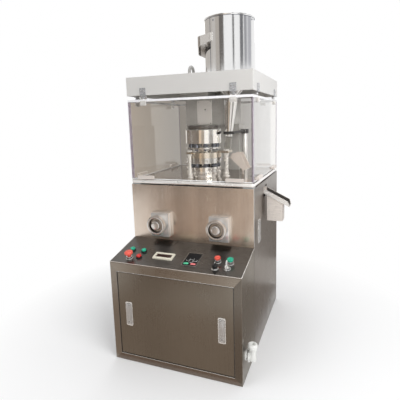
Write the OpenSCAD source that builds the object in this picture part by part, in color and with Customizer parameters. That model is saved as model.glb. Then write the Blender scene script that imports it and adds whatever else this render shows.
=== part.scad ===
// Rotary tablet press: a stainless cabinet with a sloped control console, a tall
// body with two hand knobs, and a clear guarded chamber round the punch turret.
// Millimetres, +Z up, x = 0 on the mid-plane, origin on the floor at the middle
// of the footprint. The front faces -Y.

/* [Body] */
// Width of the body and of the cabinet
body_w = 640; // [630:5:680]
// Depth of the tall body behind the cabinet
body_d = 600; // [590:5:640]
// Height of the working deck
deck_top = 850; // [845:1:856]
// Thickness of the sheet panels
sheet_t = 3; // [2:0.5:4]

/* [Cabinet and console] */
// How far the cabinet stands out in front of the body
cabinet_d = 225; // [215:5:240]
// Height of the console's front edge
console_front_z = 497; // [490:1:505]
// Height of the console's rear edge
console_rear_z = 546; // [535:1:552]
// Width of the lift-off front door
door_w = 570; // [540:5:580]
// Height of the door's lower edge
door_bottom = 35; // [25:1:50]
// Height of the door's upper edge
door_top = 450; // [430:1:460]

/* [Guarded chamber] */
// Height of the top cover's lower edge
cover_bottom = 1266; // [1262:1:1270]
// Height of the top cover's upper face
cover_top = 1355; // [1350:1:1362]
// Thickness of the clear windows
pane_t = 10; // [8:1:10]

/* [Turret] */
// Number of punch stations
stations = 9; // [6:1:10]
// Distance of the turret axis behind the front panel
turret_inset = 215; // [210:1:220]
// Radius of the die table and of the cam drum above it
table_r = 95; // [94:0.5:96]
// Radius of the circle that the punches stand on
pitch_r = 70; // [69:0.5:71]

/* [Hopper] */
// Sideways place of the hopper axis
hopper_x = 149; // [146:1:160]
// Distance of the hopper axis behind the front panel
hopper_inset = 225; // [220:1:228]
// Outside radius of the hopper
hopper_r = 124; // [118:1:125]
// Height of the hopper's rim
hopper_top = 1625; // [1560:5:1660]

/* [Knobs] */
// Sideways place of each hand knob
knob_x = 155; // [150:1:160]
// Height of the knob axes
knob_z = 637; // [630:1:642]
// Radius of the knob's front ring
knob_r = 48.5; // [44:0.5:49]

/* [Discharge] */
// Width of the discharge chute
chute_w = 70; // [60:1:72]
// How far the chute reaches out of the right wall
chute_reach = 130; // [110:1:140]
// Slope of the chute in degrees
chute_slope = 26.5; // [25:0.5:28]

/* [Drive] */
// Teeth of the worm wheel
wheel_teeth = 20; // [20:1:20]
// Gear module of the worm and its wheel
gear_module = 8; // [8:0.5:8]
// Radius of the pulley on the worm shaft
drive_pulley_r = 88; // [80:1:88]
// Radius of the motor pulley
motor_pulley_r = 55; // [50:1:56]

/* [Hidden] */
$fn = 64;
e = 0.5;
run_gap = 0.05;
loose_gap = 0.5;
front_y = (cabinet_d - body_d) / 2;
rear_y = front_y + body_d;
cab_y = front_y - cabinet_d;
half_w = body_w / 2;
foot_gap = 2;

// Welded frame
base_t = 12;
post_w = 50;
base_inset = 8;
rail_h = 50;
rail_d = 40;

// Deck and panels
deck_t = 18;
deck_bottom = deck_top - deck_t;
panel_top = deck_bottom - 6;
deck_corner_r = 14;

// Sloped console
console_t = 4;
console_slope = atan((console_rear_z - console_front_z) / cabinet_d);
console_len = cabinet_d / cos(console_slope);
console_drop = console_t / cos(console_slope);

// Door and latches
door_gap = 2.5;
door_recess = 1.5;
latch_x = 230;
latch_z = 244.5;
latch_w = 26;
latch_h = 100;
latch_t = 7;
latch_lift = 0.5;
side_latch_y = front_y + 102;
side_latch_z = 597.5;

// Windows and their hinges
pane_inset = 7.5;
pane_gap = 1.5;
hinge_z = cover_bottom - 10;
pane_top = hinge_z - 9;
pane_bottom = deck_top + 3;
knuckle_r = 5.5;
hinge_pin_r = 2.5;
hinge_w = 31;
knuckle_fixed_w = 12;
knuckle_gap = 0.4;
hinge_block_drop = 16;
hinge_block_h = 22;
hinge_block_t = 7;
front_hinge_x = 228;
side_hinge_x = 208;
pull_w = 88;
pull_h = 14;
pull_t = 12;
pull_rise = 4;
front_pull_x = 232;
side_pull_x = 190;
front_pane_w = body_w - 2 * pane_inset + pane_t;
side_pane_w = body_d - 2 * pane_inset - pane_t - 2 * pane_gap;
mid_y = (front_y + rear_y) / 2;

// Turret heights, from the deck upwards
turret_y = front_y + turret_inset;
cam_top = deck_top + 51;
table_bottom = deck_top + 70;
table_top = deck_top + 98;
flange_bottom = deck_top + 144;
flange_top = deck_top + 153;
drum_bottom = deck_top + 173;
drum_top = deck_top + 242;
flange_r = table_r - 1;
hub_r = 45;
shaft_r = 30;
shaft_foot_r = 20;
station_step = 360 / stations;
station_turn = -102;

// Tooling
barrel_r = 12.7;
punch_head_r = 16;
punch_neck_r = 9;
tip_r = 8;
die_r = 19;
die_h = 20;
fit_gap = 0.1;
die_floor = table_top - die_h - 1;
upper_head_top = deck_top + 192;
lower_head_bottom = cam_top + 1.5;
lock_screw_r = 5;

// Cam housings and pressure rollers
cam_r = table_r - 2;
cam_bore_r = 40;
drum_wall = 6;
drum_roof = 6;
drum_hub_r = 46;
roller_r = 20;
roller_len = 28;
journal_r = 8;
journal_in = 40;
journal_out = 92;
upper_roller_z = upper_head_top + 1 + roller_r;
lower_roller_z = lower_head_bottom - 1 - roller_r;

// Feed frame and its posts
feed_gap = 0.5;
feed_bottom = table_top + feed_gap;
feed_h = 28;
feed_in_r = 51;
feed_out_r = table_r + 1;
feed_start = -118;
feed_sweep = 121;
left_post_r = 8;
right_post_r = 11;
post_top = deck_top + 140;
left_post = [-38, turret_y - 103];
right_post = [129, turret_y - 15];
lug_z = feed_bottom + feed_h;
lug_t = 6;
lug_sink = 4;

// Head frame
column_x = 128;
column_front = front_y + 450;
head_back = rear_y - 24;
head_front = front_y + 240;
head_bottom = deck_top + 265;
head_left = -108;
head_right = 106;
neck_r = 84;
head_top = cover_bottom - 12;
pedestal_x = 20;
pedestal_y = front_y + 370;

// Hopper and feed
hopper_y = front_y + hopper_inset;
hopper_wall = 3;
outlet_r = 39;
spout_tip_r = 18;
spout_tip_x = 136;
spout_tip_z = 1056;
spout_lean = atan((hopper_x - spout_tip_x) / (cover_bottom - spout_tip_z));
spout_len = (cover_bottom - spout_tip_z) / cos(spout_lean);
tube_r = 17.5;
tube_wall = 2.5;
tube_foot = [124, turret_y + 20, lug_z + lug_t];
strap_t = 4;
strap_len = 138;
strap_out = 35;
strap_angle = 201;
// Lower and upper edge of the strap at its four corners, from the near foot on
strap_low = [1512, 1490, 1472, 1447];
strap_high = [1550, 1535, 1530, 1525];

// Support post and arm of the spout
stay_x = 152;
stay_y = front_y + 487.5;
stay_r = 17;
stay_top = 1084;
arm_w = 14;
arm_h = 14;
arm_z = 1066;
clamp_r = 29;

// Discharge
chute_y = turret_y + 36;
chute_t = 3;
chute_wall_h = 24;
chute_z = 763;
chute_inner = 78;
chute_end_cut = 8;
skirt_start = 16;
skirt_end = 95;
skirt_bottom = 622;
skirt_inset = 4;
slot_x = 248;
slot_len = 26;
tray_x = 104;
tray_z = table_top - 4;
tray_end = 149;
tray_fall = (tray_z - deck_top) / (slot_x - tray_end);
lip_h = 26;
lip_x = 217;
lip_z = tray_z - (lip_x - tray_end) * tray_fall;
tray_leg_x = 186;
tray_leg_w = 12;

// Knobs and their spindles
boss_w = 99;
boss_h = 121;
boss_t = 25;
boss_z = 628.5;
knob_out = 69;
knob_ring_t = 15;
knob_body_r = 34;
knob_hub_r = 22;
knob_recess_r = 35;
knob_recess_d = 12;
spindle_r = 12;
spindle_end = front_y + 118;
nut_w = 52;
nut_len = 40;
nut_y = front_y + 64;

// Worm drive
wheel_r = gear_module * wheel_teeth / 2;
worm_lead = PI * gear_module;
worm_r = 28;
worm_dist = wheel_r + worm_r;
worm_y = turret_y + worm_dist;
wheel_z = 710;
wheel_w = 24;
tooth_base = 10;
tooth_tip = 4;
worm_root_r = worm_r - gear_module - 2;
worm_tip_r = worm_r + gear_module;
worm_len = 96;
worm_shaft_r = 15;
case_w = 220;
case_h = 96;
case_wall = 8;
case_front = turret_y - wheel_r - gear_module - 10;
case_back = worm_y + worm_tip_r + 12;
tower_r = 60;
pulley_x = -225;
pulley_w = 40;
belt_w = 30;
belt_t = 9;
belt_gap = 0.6;
motor_z = 160;
motor_r = 85;
motor_len = 260;
motor_x = -150;
motor_shaft_r = 14;

// Lifting eye
eye_x = -75;
eye_y = turret_y + 38;
eye_r = 36;
eye_bore_r = 20;
eye_t = 16;
eye_rise = 37;
eye_collar_r = 20;
eye_collar_h = 9;

// Cable inlet on the cabinet's right side
inlet_y = cab_y + 58;
inlet_z = 116;
inlet_bore_r = 9;
inlet_throat_r = 7;

// Places on the console: sideways, then up the slope from its front edge
estop_at = [-237, 42];
left_buttons_at = [[-258, 109], [-195, 107], [-195, 57]];
stop_at = [188, 92];
start_at = [247, 90];
selector_at = [190, 43];
key_at = [244, 50];
meter_at = [-76, 83];
keypad_at = [67, 85];
stem_r = 8;
stem_gap = 0.1;

// Shared shapes

module block(low, high) {
    translate(low) cube(high - low);
}

module tube(r_out, r_in, h) {
    difference() {
        cylinder(r = r_out, h = h);
        translate([0, 0, -e]) cylinder(r = r_in, h = h + 2 * e);
    }
}

module along_x(x, y, z) {
    translate([x, y, z]) rotate([0, 90, 0]) children();
}

module along_y(x, y, z) {
    translate([x, y, z]) rotate([-90, 0, 0]) children();
}

// Puts a shape on the console, with its own +Z square to the slope
module on_console(at) {
    translate([0, cab_y, console_front_z])
        rotate([console_slope, 0, 0])
            translate([at[0], at[1], 0]) children();
}

// Puts a shape on the turret axis at one punch station
module at_station(i) {
    translate([0, turret_y, 0])
        rotate([0, 0, i * station_step + station_turn])
            translate([pitch_r, 0, 0]) children();
}

// A ring sector round +Z
module sector(r_in, r_out, h, start, sweep) {
    rotate([0, 0, start])
        rotate_extrude(angle = sweep)
            translate([r_in, 0]) square([r_out - r_in, h]);
}

// Frame, panels and cabinet

module base_frame() {
    post_x = half_w - sheet_t - post_w;
    color("dimgray") {
        block([-half_w + base_inset, cab_y + base_inset, 0],
              [half_w - base_inset, rear_y - base_inset, base_t]);
        for (side = [-1, 1]) {
            mirror([side < 0 ? 1 : 0, 0, 0]) {
                block([post_x, front_y + sheet_t, base_t],
                      [post_x + post_w, front_y + sheet_t + post_w, deck_bottom]);
                block([post_x, rear_y - sheet_t - post_w, base_t],
                      [post_x + post_w, rear_y - sheet_t, deck_bottom]);
                block([post_x, cab_y + 2 * sheet_t + 4, base_t],
                      [post_x + post_w, cab_y + post_w + 4, console_front_z - 14]);
            }
        }
        difference() {
            block([-post_x, front_y + post_w + sheet_t - rail_d, knob_z - rail_h / 2],
                  [post_x, front_y + post_w + sheet_t, knob_z + rail_h / 2]);
            for (x = [-knob_x, knob_x])
                along_y(x, front_y, knob_z) cylinder(r = spindle_r + run_gap, h = 2 * post_w);
        }
    }
}

module side_panel() {
    block([half_w - sheet_t, front_y + sheet_t, foot_gap], [half_w, rear_y - sheet_t, panel_top]);
}

module left_side_panel() {
    color("tan") mirror([1, 0, 0]) side_panel();
}

module right_side_panel() {
    color("tan")
    difference() {
        side_panel();
        block([half_w - 2 * sheet_t, chute_y - chute_w / 2 - 4, chute_z - 20],
              [half_w + sheet_t, chute_y + chute_w / 2 + 4, chute_z + chute_wall_h + 14]);
    }
}

module rear_panel() {
    color("tan") block([-half_w, rear_y - sheet_t, foot_gap], [half_w, rear_y, panel_top]);
}

// The upper front sheet with the two welded bosses that carry the knobs
module front_panel() {
    panel_bottom = console_rear_z - 14;
    color("tan")
    difference() {
        union() {
            block([-half_w, front_y, panel_bottom], [half_w, front_y + sheet_t, panel_top]);
            for (x = [-knob_x, knob_x])
                block([x - boss_w / 2, front_y - boss_t, boss_z - boss_h / 2],
                      [x + boss_w / 2, front_y, boss_z + boss_h / 2]);
        }
        for (x = [-knob_x, knob_x])
            along_y(x, front_y - 2 * boss_t, knob_z)
                cylinder(r = spindle_r + run_gap, h = 3 * boss_t);
    }
}

module cabinet_side() {
    outline = [
        [cab_y + sheet_t, foot_gap],
        [front_y, foot_gap],
        [front_y, console_rear_z - console_drop],
        [cab_y + sheet_t, console_front_z + sheet_t * tan(console_slope) - console_drop]
    ];
    translate([half_w, 0, 0])
        rotate([90, 0, -90])
            linear_extrude(height = sheet_t)
                polygon([for (p = outline) [-p[0], p[1]]]);
}

module cabinet_shell() {
    color("tan") {
        difference() {
            cabinet_side();
            along_x(half_w - 2 * sheet_t, inlet_y, inlet_z) cylinder(r = 18.5, h = 4 * sheet_t);
        }
        mirror([1, 0, 0]) cabinet_side();
        difference() {
            block([-half_w, cab_y, foot_gap],
                  [half_w, cab_y + sheet_t, console_front_z - console_drop]);
            block([-door_w / 2, cab_y - e, door_bottom],
                  [door_w / 2, cab_y + sheet_t + e, door_top]);
        }
    }
}

module console_panel() {
    holes = concat([estop_at, stop_at, start_at, selector_at, key_at], left_buttons_at);
    color("dimgray")
    difference() {
        on_console([0, 0])
            block([-half_w, 0, -console_t], [half_w, console_len - 1, 0]);
        for (at = holes)
            on_console(at)
                translate([0, 0, -2 * console_t]) cylinder(r = stem_r + 1.5, h = 3 * console_t);
    }
}

// The door stands on its rolled lower hem and tilts out on it
module front_door() {
    x = door_w / 2 - door_gap;
    y = cab_y + door_recess;
    hem_r = sheet_t / 2;
    hem_z = door_bottom + door_gap + hem_r;
    color("tan") {
        block([-x, y, hem_z], [x, y + sheet_t, door_top - door_gap]);
        along_x(-x, y + hem_r, hem_z) cylinder(r = hem_r, h = 2 * x);
    }
}

// A flush latch handle, hung from the barrel at its upper end. Its own -Y points outwards.
module latch_handle() {
    barrel_y = -latch_lift - latch_t / 2;
    block([-latch_w / 2, -latch_t - latch_lift, -latch_h], [latch_w / 2, -latch_lift, 0]);
    along_x(-latch_w / 2, barrel_y, 0) cylinder(r = latch_t / 2, h = latch_w);
}

module door_latch(x) {
    color("silver")
        translate([x, cab_y + door_recess, latch_z + latch_h / 2]) latch_handle();
}

module left_latch() {
    door_latch(-latch_x);
}

module right_latch() {
    door_latch(latch_x);
}

module side_latch() {
    color("silver")
        translate([half_w, side_latch_y, side_latch_z + latch_h / 2])
            rotate([0, 0, 90]) latch_handle();
}

// Deck, chamber and head

module deck() {
    x = half_w - deck_corner_r;
    color("gainsboro")
    difference() {
        translate([0, 0, deck_bottom]) union() {
            block([-half_w, front_y + deck_corner_r, 0], [half_w, rear_y - deck_corner_r, deck_t]);
            block([-x, front_y, 0], [x, rear_y, deck_t]);
            for (cx = [-x, x], cy = [front_y + deck_corner_r, rear_y - deck_corner_r])
                translate([cx, cy, 0]) cylinder(r = deck_corner_r, h = deck_t);
        }
        translate([0, turret_y, deck_bottom - e]) cylinder(r = shaft_r + 4, h = deck_t + 2 * e);
        block([slot_x, chute_y - chute_w / 2, deck_bottom - e],
              [slot_x + slot_len, chute_y + chute_w / 2, deck_top + e]);
    }
}

module top_cover() {
    color("lightgray")
    difference() {
        block([-half_w, front_y, cover_bottom], [half_w, rear_y, cover_top]);
        block([-half_w + sheet_t, front_y + sheet_t, cover_bottom - e],
              [half_w - sheet_t, rear_y - sheet_t, cover_top - sheet_t]);
        translate([hopper_x, hopper_y, cover_bottom])
            cylinder(r = hopper_r + 0.5, h = cover_top - cover_bottom + e);
    }
}

// One casting: the rear column, the head over the turret and the cover's seat
module head_frame() {
    color("darkgray") {
        block([-column_x, column_front, deck_top], [column_x, head_back, head_bottom + e]);
        block([head_left, head_front, head_bottom], [head_right, head_back, head_top]);
        translate([0, turret_y, drum_top])
            intersection() {
                cylinder(r = neck_r, h = head_bottom - drum_top + e);
                block([-neck_r, head_front + 6 - turret_y, 0], [neck_r, neck_r, neck_r]);
            }
        block([head_left, head_front, head_top], [pedestal_x, head_back, cover_top - sheet_t]);
        block([pedestal_x, pedestal_y, head_top], [head_right, head_back, cover_top - sheet_t]);
    }
}

module lifting_eye() {
    eye_z = cover_top + eye_rise;
    color("silver")
    difference() {
        union() {
            translate([eye_x, eye_y, cover_top]) cylinder(r = eye_collar_r, h = eye_collar_h);
            along_x(eye_x - eye_t / 2, eye_y, eye_z) cylinder(r = eye_r, h = eye_t);
        }
        along_x(eye_x - eye_t, eye_y, eye_z) cylinder(r = eye_bore_r, h = 2 * eye_t);
    }
}

// One hinged window. The hinge axis is its own X, and -Y points outwards.
module window(w, hinge_x, pull_x) {
    drop = pane_top - hinge_z;
    low = pane_bottom - hinge_z;
    difference() {
        union() {
            block([-w / 2, -pane_t / 2, low], [w / 2, pane_t / 2, drop]);
            for (x = [-hinge_x, hinge_x]) {
                translate([x, -pane_t / 2, -hinge_block_drop])
                    block([-hinge_w / 2, -hinge_block_t, -hinge_block_h], [hinge_w / 2, 0, 0]);
                for (s = [-1, 1])
                    translate([x, 0, 0]) mirror([s < 0 ? 1 : 0, 0, 0]) moving_knuckle(drop);
            }
            for (x = [-pull_x, pull_x])
                block([x - pull_w / 2, -pane_t / 2 - pull_t, low + pull_rise],
                      [x + pull_w / 2, -pane_t / 2, low + pull_rise + pull_h]);
        }
        for (x = [-hinge_x, hinge_x])
            along_x(x - hinge_w, 0, 0) cylinder(r = hinge_pin_r + run_gap, h = 2 * hinge_w);
    }
}

module moving_knuckle(drop) {
    inner = knuckle_fixed_w / 2 + knuckle_gap;
    along_x(inner, 0, 0) cylinder(r = knuckle_r, h = hinge_w / 2 - inner);
    block([inner, -pane_t / 2, drop], [hinge_w / 2, pane_t / 2, drop + 4.5]);
}

// The fixed half of a window hinge with its pin
module hinge_plate() {
    plate_y = -pane_inset;
    low = cover_bottom - hinge_z;
    block([-hinge_w / 2, plate_y - 4, low - 3], [hinge_w / 2, plate_y, low + 35]);
    block([-knuckle_fixed_w / 2, plate_y - 4, low - 3], [knuckle_fixed_w / 2, 4, low]);
    block([-knuckle_fixed_w / 2, -5, 0], [knuckle_fixed_w / 2, 4, low]);
    along_x(-knuckle_fixed_w / 2, 0, 0) cylinder(r = knuckle_r, h = knuckle_fixed_w);
    along_x(-hinge_w / 2, 0, 0) cylinder(r = hinge_pin_r, h = hinge_w);
}

// Turns a window or a hinge to face the front, right, rear or left
module facing(turn) {
    reach = (turn == 0 || turn == 180) ? body_d / 2 - pane_inset : half_w - pane_inset;
    translate([0, mid_y, hinge_z])
        rotate([0, 0, turn])
            translate([0, -reach, 0]) children();
}

module hinge_plates() {
    color("silver")
    for (turn = [0, 90, 180, 270], s = [-1, 1]) {
        x = turn % 180 == 0 ? front_hinge_x : side_hinge_x;
        facing(turn) translate([s * x, 0, 0]) hinge_plate();
    }
}

module front_window() {
    color("lightcyan", 0.5) facing(0) window(front_pane_w, front_hinge_x, front_pull_x);
}

module right_window() {
    color("lightcyan", 0.5) facing(90) window(side_pane_w, side_hinge_x, side_pull_x);
}

module rear_window() {
    color("lightcyan", 0.5) facing(180) window(front_pane_w, front_hinge_x, front_pull_x);
}

module left_window() {
    color("lightcyan", 0.5) facing(270) window(side_pane_w, side_hinge_x, side_pull_x);
}

// Turret, tooling and cams

module turret() {
    color("silver")
    difference() {
        translate([0, turret_y, 0]) union() {
            translate([0, 0, cam_top + 2]) cylinder(r = hub_r, h = flange_top - cam_top - 2);
            translate([0, 0, table_bottom]) cylinder(r = table_r, h = table_top - table_bottom);
            translate([0, 0, flange_bottom]) cylinder(r = flange_r, h = flange_top - flange_bottom);
        }
        translate([0, turret_y, deck_top]) cylinder(r = shaft_r + run_gap, h = drum_top - deck_top);
        for (i = [0:stations - 1]) {
            at_station(i) {
                translate([0, 0, flange_bottom - e])
                    cylinder(r = barrel_r + fit_gap, h = flange_top - flange_bottom + 2 * e);
                translate([0, 0, table_bottom - e])
                    cylinder(r = barrel_r + fit_gap, h = table_top - table_bottom);
                translate([0, 0, die_floor]) cylinder(r = die_r + fit_gap, h = 2 * die_h);
            }
            translate([0, turret_y, (table_bottom + table_top) / 2])
                rotate([0, 0, i * station_step + station_turn])
                    translate([pitch_r + die_r - 2, 0, 0])
                        rotate([0, 90, 0]) cylinder(r = lock_screw_r, h = table_r);
        }
    }
}

module dies() {
    color("gray")
    for (i = [0:stations - 1])
        at_station(i) translate([0, 0, die_floor]) tube(die_r, tip_r + fit_gap, die_h);
}

// A cylinder round +Z between two heights
module bar(r, low, high) {
    translate([0, 0, low]) cylinder(r = r, h = high - low);
}

module upper_punch() {
    bar(tip_r, flange_bottom - 9, flange_bottom + 3);
    bar(barrel_r, flange_bottom + 2, upper_head_top - 24);
    bar(punch_neck_r, upper_head_top - 25, upper_head_top - 7);
    bar(punch_head_r, upper_head_top - 9, upper_head_top);
}

module lower_punch() {
    bar(punch_head_r, lower_head_bottom, lower_head_bottom + 6);
    bar(barrel_r, lower_head_bottom + 5, die_floor - 1);
    bar(tip_r, die_floor - 2, die_floor + die_h - 8);
}

module upper_punches() {
    color("slategray") for (i = [0:stations - 1]) at_station(i) upper_punch();
}

module lower_punches() {
    color("slategray") for (i = [0:stations - 1]) at_station(i) lower_punch();
}

module main_shaft() {
    low = wheel_z - case_h / 2;
    color("lightgray")
    translate([0, turret_y, 0]) {
        bar(shaft_r, low + case_wall + 1, drum_top - drum_roof - 2);
        bar(shaft_foot_r, low + 1, low + case_wall + 2);
    }
}

// Fixed housing that hangs under the head and holds the upper cam track
module upper_cam_drum() {
    y_bore = turret_y + journal_in - 4;
    color("silver")
    difference() {
        translate([0, turret_y, 0]) {
            translate([0, 0, drum_bottom])
                tube(table_r, table_r - drum_wall, drum_top - drum_bottom);
            bar(table_r - 1, drum_top - drum_roof, drum_top);
            bar(drum_hub_r, upper_head_top + 8, drum_top - 2);
        }
        translate([0, turret_y, deck_top])
            cylinder(r = shaft_r + run_gap, h = drum_top - drum_roof - deck_top);
        along_y(0, y_bore, upper_roller_z) cylinder(r = journal_r + run_gap, h = 2 * table_r);
    }
}

// Fixed housing on the deck with the lower cam track and two bright rings
module lower_cam_housing() {
    groove_r = cam_r - 5;
    steps = [[groove_r, 0, 11], [cam_r, 11, 28], [groove_r, 28, 40], [cam_r, 40, cam_top - deck_top]];
    color("silver")
    difference() {
        translate([0, turret_y, deck_top])
            for (s = steps) bar(s[0], s[1], s[2]);
        translate([0, turret_y, deck_top - e]) cylinder(r = cam_bore_r, h = cam_top);
        block([-roller_r - 1, turret_y + pitch_r - roller_len / 2 - 1, lower_roller_z - roller_r - 2],
              [roller_r + 1, turret_y + pitch_r + roller_len / 2 + 1, cam_top + e]);
        along_y(0, turret_y, lower_roller_z) cylinder(r = journal_r + run_gap, h = 2 * table_r);
    }
}

module roller(z) {
    along_y(0, turret_y + pitch_r - roller_len / 2, z) cylinder(r = roller_r, h = roller_len);
    along_y(0, turret_y + journal_in, z) cylinder(r = journal_r, h = journal_out - journal_in);
}

module upper_roller() {
    color("lightgray") roller(upper_roller_z);
}

module lower_roller() {
    color("lightgray") roller(lower_roller_z);
}

// Powder feed

// A crescent on the die table with three open pockets and a lug to each post
module feed_frame() {
    pockets = 3;
    pocket_step = (feed_sweep - 14) / pockets;
    color("goldenrod") {
        difference() {
            translate([0, turret_y, feed_bottom])
                sector(feed_in_r, feed_out_r, feed_h, feed_start, feed_sweep);
            for (i = [0:pockets - 1])
                translate([0, turret_y, feed_bottom - e])
                    sector(feed_in_r + 7, feed_out_r - 7, feed_h + 2 * e,
                           feed_start + 7 + i * pocket_step + 2, pocket_step - 4);
        }
        difference() {
            translate([0, 0, lug_z - lug_sink]) {
                block([left_post[0] - 13, left_post[1] - 13, 0],
                      [left_post[0] + 13, turret_y - feed_out_r + 12, lug_t + lug_sink]);
                block([feed_out_r - 10, right_post[1] - 15, 0],
                      [right_post[0] + 15, tube_foot[1] + tube_r + 3, lug_t + lug_sink]);
            }
            lug_hole(left_post, left_post_r + fit_gap);
            lug_hole(right_post, right_post_r + fit_gap);
            lug_hole(tube_foot, tube_r - tube_wall);
        }
    }
}

module lug_hole(at, r) {
    translate([at[0], at[1], lug_z - lug_sink - e]) cylinder(r = r, h = lug_sink + lug_t + 2 * e);
}

// Two turned posts, each with a foot collar and three knurled nuts
module feed_post(at, r) {
    nut_heights = [deck_top + 12, lug_z - lug_sink - 10, lug_z + lug_t];
    translate([at[0], at[1], 0]) {
        translate([0, 0, deck_top]) cylinder(r = r, h = post_top - deck_top);
        translate([0, 0, deck_top]) cylinder(r = r + 6, h = 6);
        for (z = nut_heights)
            translate([0, 0, z]) cylinder(r = r + 3, h = 9);
    }
}

module feed_posts() {
    color("silver") {
        feed_post(left_post, left_post_r);
        feed_post(right_post, right_post_r);
    }
}

module spout(r_tip, r_top) {
    translate([spout_tip_x, hopper_y, spout_tip_z])
        rotate([0, spout_lean, 0]) cylinder(r1 = r_tip, r2 = r_top, h = spout_len);
}

// Cylinder, cone and leaning spout, open from end to end
module hopper() {
    cone_low = cover_bottom - 4;
    wall = hopper_wall;
    color("lightgray")
    difference() {
        union() {
            translate([hopper_x, hopper_y, 0]) rotate_extrude() polygon([[0, cone_low],
                [outlet_r, cone_low], [hopper_r, cover_top - 4], [hopper_r, cover_top],
                [hopper_r + 9, cover_top], [hopper_r + 9, cover_top + wall],
                [hopper_r, cover_top + wall], [hopper_r, hopper_top], [0, hopper_top]]);
            spout(spout_tip_r, outlet_r);
        }
        translate([hopper_x, hopper_y, 0]) rotate_extrude() polygon([[0, cone_low - e],
            [outlet_r - wall - 2, cone_low - e], [hopper_r - wall, cover_top - 3],
            [hopper_r - wall, hopper_top + e], [0, hopper_top + e]]);
        spout(spout_tip_r - wall, outlet_r - wall);
        translate([spout_tip_x, hopper_y, spout_tip_z])
            rotate([0, spout_lean, 0])
                translate([0, 0, -2]) cylinder(r = spout_tip_r - wall, h = 4);
    }
}

// One leg of the hopper's strap, from corner number foot to corner number bend
module strap_leg(y, foot, bend) {
    leg_in = hopper_r * 0.72;
    leg_out = hopper_r + strap_out;
    translate([0, y - strap_t / 2, 0])
        extrude_y(strap_t)
            polygon([[leg_in, strap_low[foot]], [leg_out, strap_low[bend]],
                     [leg_out, strap_high[bend]], [leg_in, strap_high[foot]]]);
}

// A bent strap with two legs on the hopper's left front, lower and wider at the rear
module hopper_handle() {
    half = strap_len / 2;
    edge = half + strap_t / 2;
    color("lightgray")
    translate([hopper_x, hopper_y, 0])
        rotate([0, 0, strap_angle])
            difference() {
                union() {
                    strap_leg(half, 0, 1);
                    strap_leg(-half, 3, 2);
                    translate([hopper_r + strap_out - strap_t, 0, 0])
                        rotate([90, 0, 90])
                            linear_extrude(height = strap_t)
                                polygon([[edge, strap_low[1]], [edge, strap_high[1]],
                                         [-edge, strap_high[2]], [-edge, strap_low[2]]]);
                }
                bar(hopper_r, cover_top, hopper_top);
            }
}

module feed_tube() {
    foot = tube_foot + [0, 0, 4.5];
    top = [spout_tip_x, hopper_y, spout_tip_z - 6];
    run = top - foot;
    len = norm(run);
    color("whitesmoke")
    translate(foot)
        rotate([0, acos(run[2] / len), atan2(run[1], run[0])])
            tube(tube_r, tube_r - tube_wall, len);
}

// A post on the deck and an arm that holds the spout's tip
module feed_support() {
    arm_len = stay_y - hopper_y;
    ring_x = spout_tip_x + (arm_z + arm_h / 2 - spout_tip_z) * tan(spout_lean);
    arm_turn = atan((stay_x - ring_x) / arm_len);
    color("silver") {
        difference() {
            translate([ring_x, hopper_y, arm_z]) union() {
                cylinder(r = clamp_r, h = arm_h);
                rotate([0, 0, -arm_turn])
                    block([-arm_w / 2, clamp_r - 6, 0], [arm_w / 2, arm_len - stay_r + 2, arm_h]);
                translate([stay_x - ring_x, arm_len, -6]) cylinder(r = stay_r + 6, h = arm_h + 10);
            }
            translate([ring_x, hopper_y, arm_z - e]) cylinder(r = spout_tip_r + 4.5, h = arm_h + 2 * e);
            translate([stay_x, stay_y, deck_top]) cylinder(r = stay_r + fit_gap, h = stay_top);
        }
        translate([stay_x, stay_y, deck_top]) {
            cylinder(r = stay_r, h = stay_top - deck_top);
            cylinder(r = stay_r + 5, h = 8);
        }
    }
}

// Discharge

// A flat tray beside the die table that folds down towards the slot in the deck,
// with a tall cheek on each side of the fold and a leg under the far cheek
module inner_chute() {
    leg_top = tray_z - (tray_leg_x + tray_leg_w - tray_end) * tray_fall;
    floor_line = [
        [tray_x, tray_z], [tray_end, tray_z], [lip_x, lip_z], [lip_x - 4, lip_z],
        [tray_end - 1, tray_z - chute_t], [tray_x, tray_z - chute_t]
    ];
    cheek = [
        [tray_end - 1, tray_z - chute_t], [tray_end - 1, tray_z + lip_h / 2],
        [tray_end + 10, tray_z + lip_h], [tray_end + 47, tray_z + lip_h],
        [lip_x + 20, lip_z + 9], [lip_x, lip_z], [lip_x - 4, lip_z]
    ];
    color("linen")
    translate([0, chute_y - chute_w / 2, 0]) {
        extrude_y(chute_w) polygon(floor_line);
        extrude_y(chute_t) polygon(cheek);
        translate([0, chute_w - chute_t, 0]) {
            extrude_y(chute_t) polygon(cheek);
            block([tray_leg_x, 0, deck_top], [tray_leg_x + tray_leg_w, chute_t, leg_top + chute_t]);
        }
    }
}

// Extrudes an outline drawn in X and Z along +Y
module extrude_y(h) {
    translate([0, h, 0]) rotate([90, 0, 0]) linear_extrude(height = h) children();
}

// Height of the outer chute's floor at a sideways place
function chute_floor(x) = chute_z - (x - half_w) * tan(chute_slope);

// An open trough through the right wall, with a folded skirt below it outside
module discharge_chute() {
    y = chute_y - chute_w / 2;
    start = half_w - chute_inner;
    end = half_w + chute_reach;
    cut = end - chute_end_cut;
    wall = [
        [start, chute_floor(start)], [end, chute_floor(end)],
        [cut, chute_floor(cut) + chute_wall_h], [start, chute_floor(start) + chute_wall_h]
    ];
    bed = [
        [start, chute_floor(start)], [end, chute_floor(end)],
        [end - 1, chute_floor(end) + chute_t], [start, chute_floor(start) + chute_t]
    ];
    color("lightgray") {
        for (side = [y, y + chute_w - chute_t])
            translate([0, side, 0]) extrude_y(chute_t) polygon(wall);
        translate([0, y, 0]) extrude_y(chute_w) polygon(bed);
        chute_skirt(y + skirt_inset, chute_w - 2 * skirt_inset);
    }
}

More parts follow.
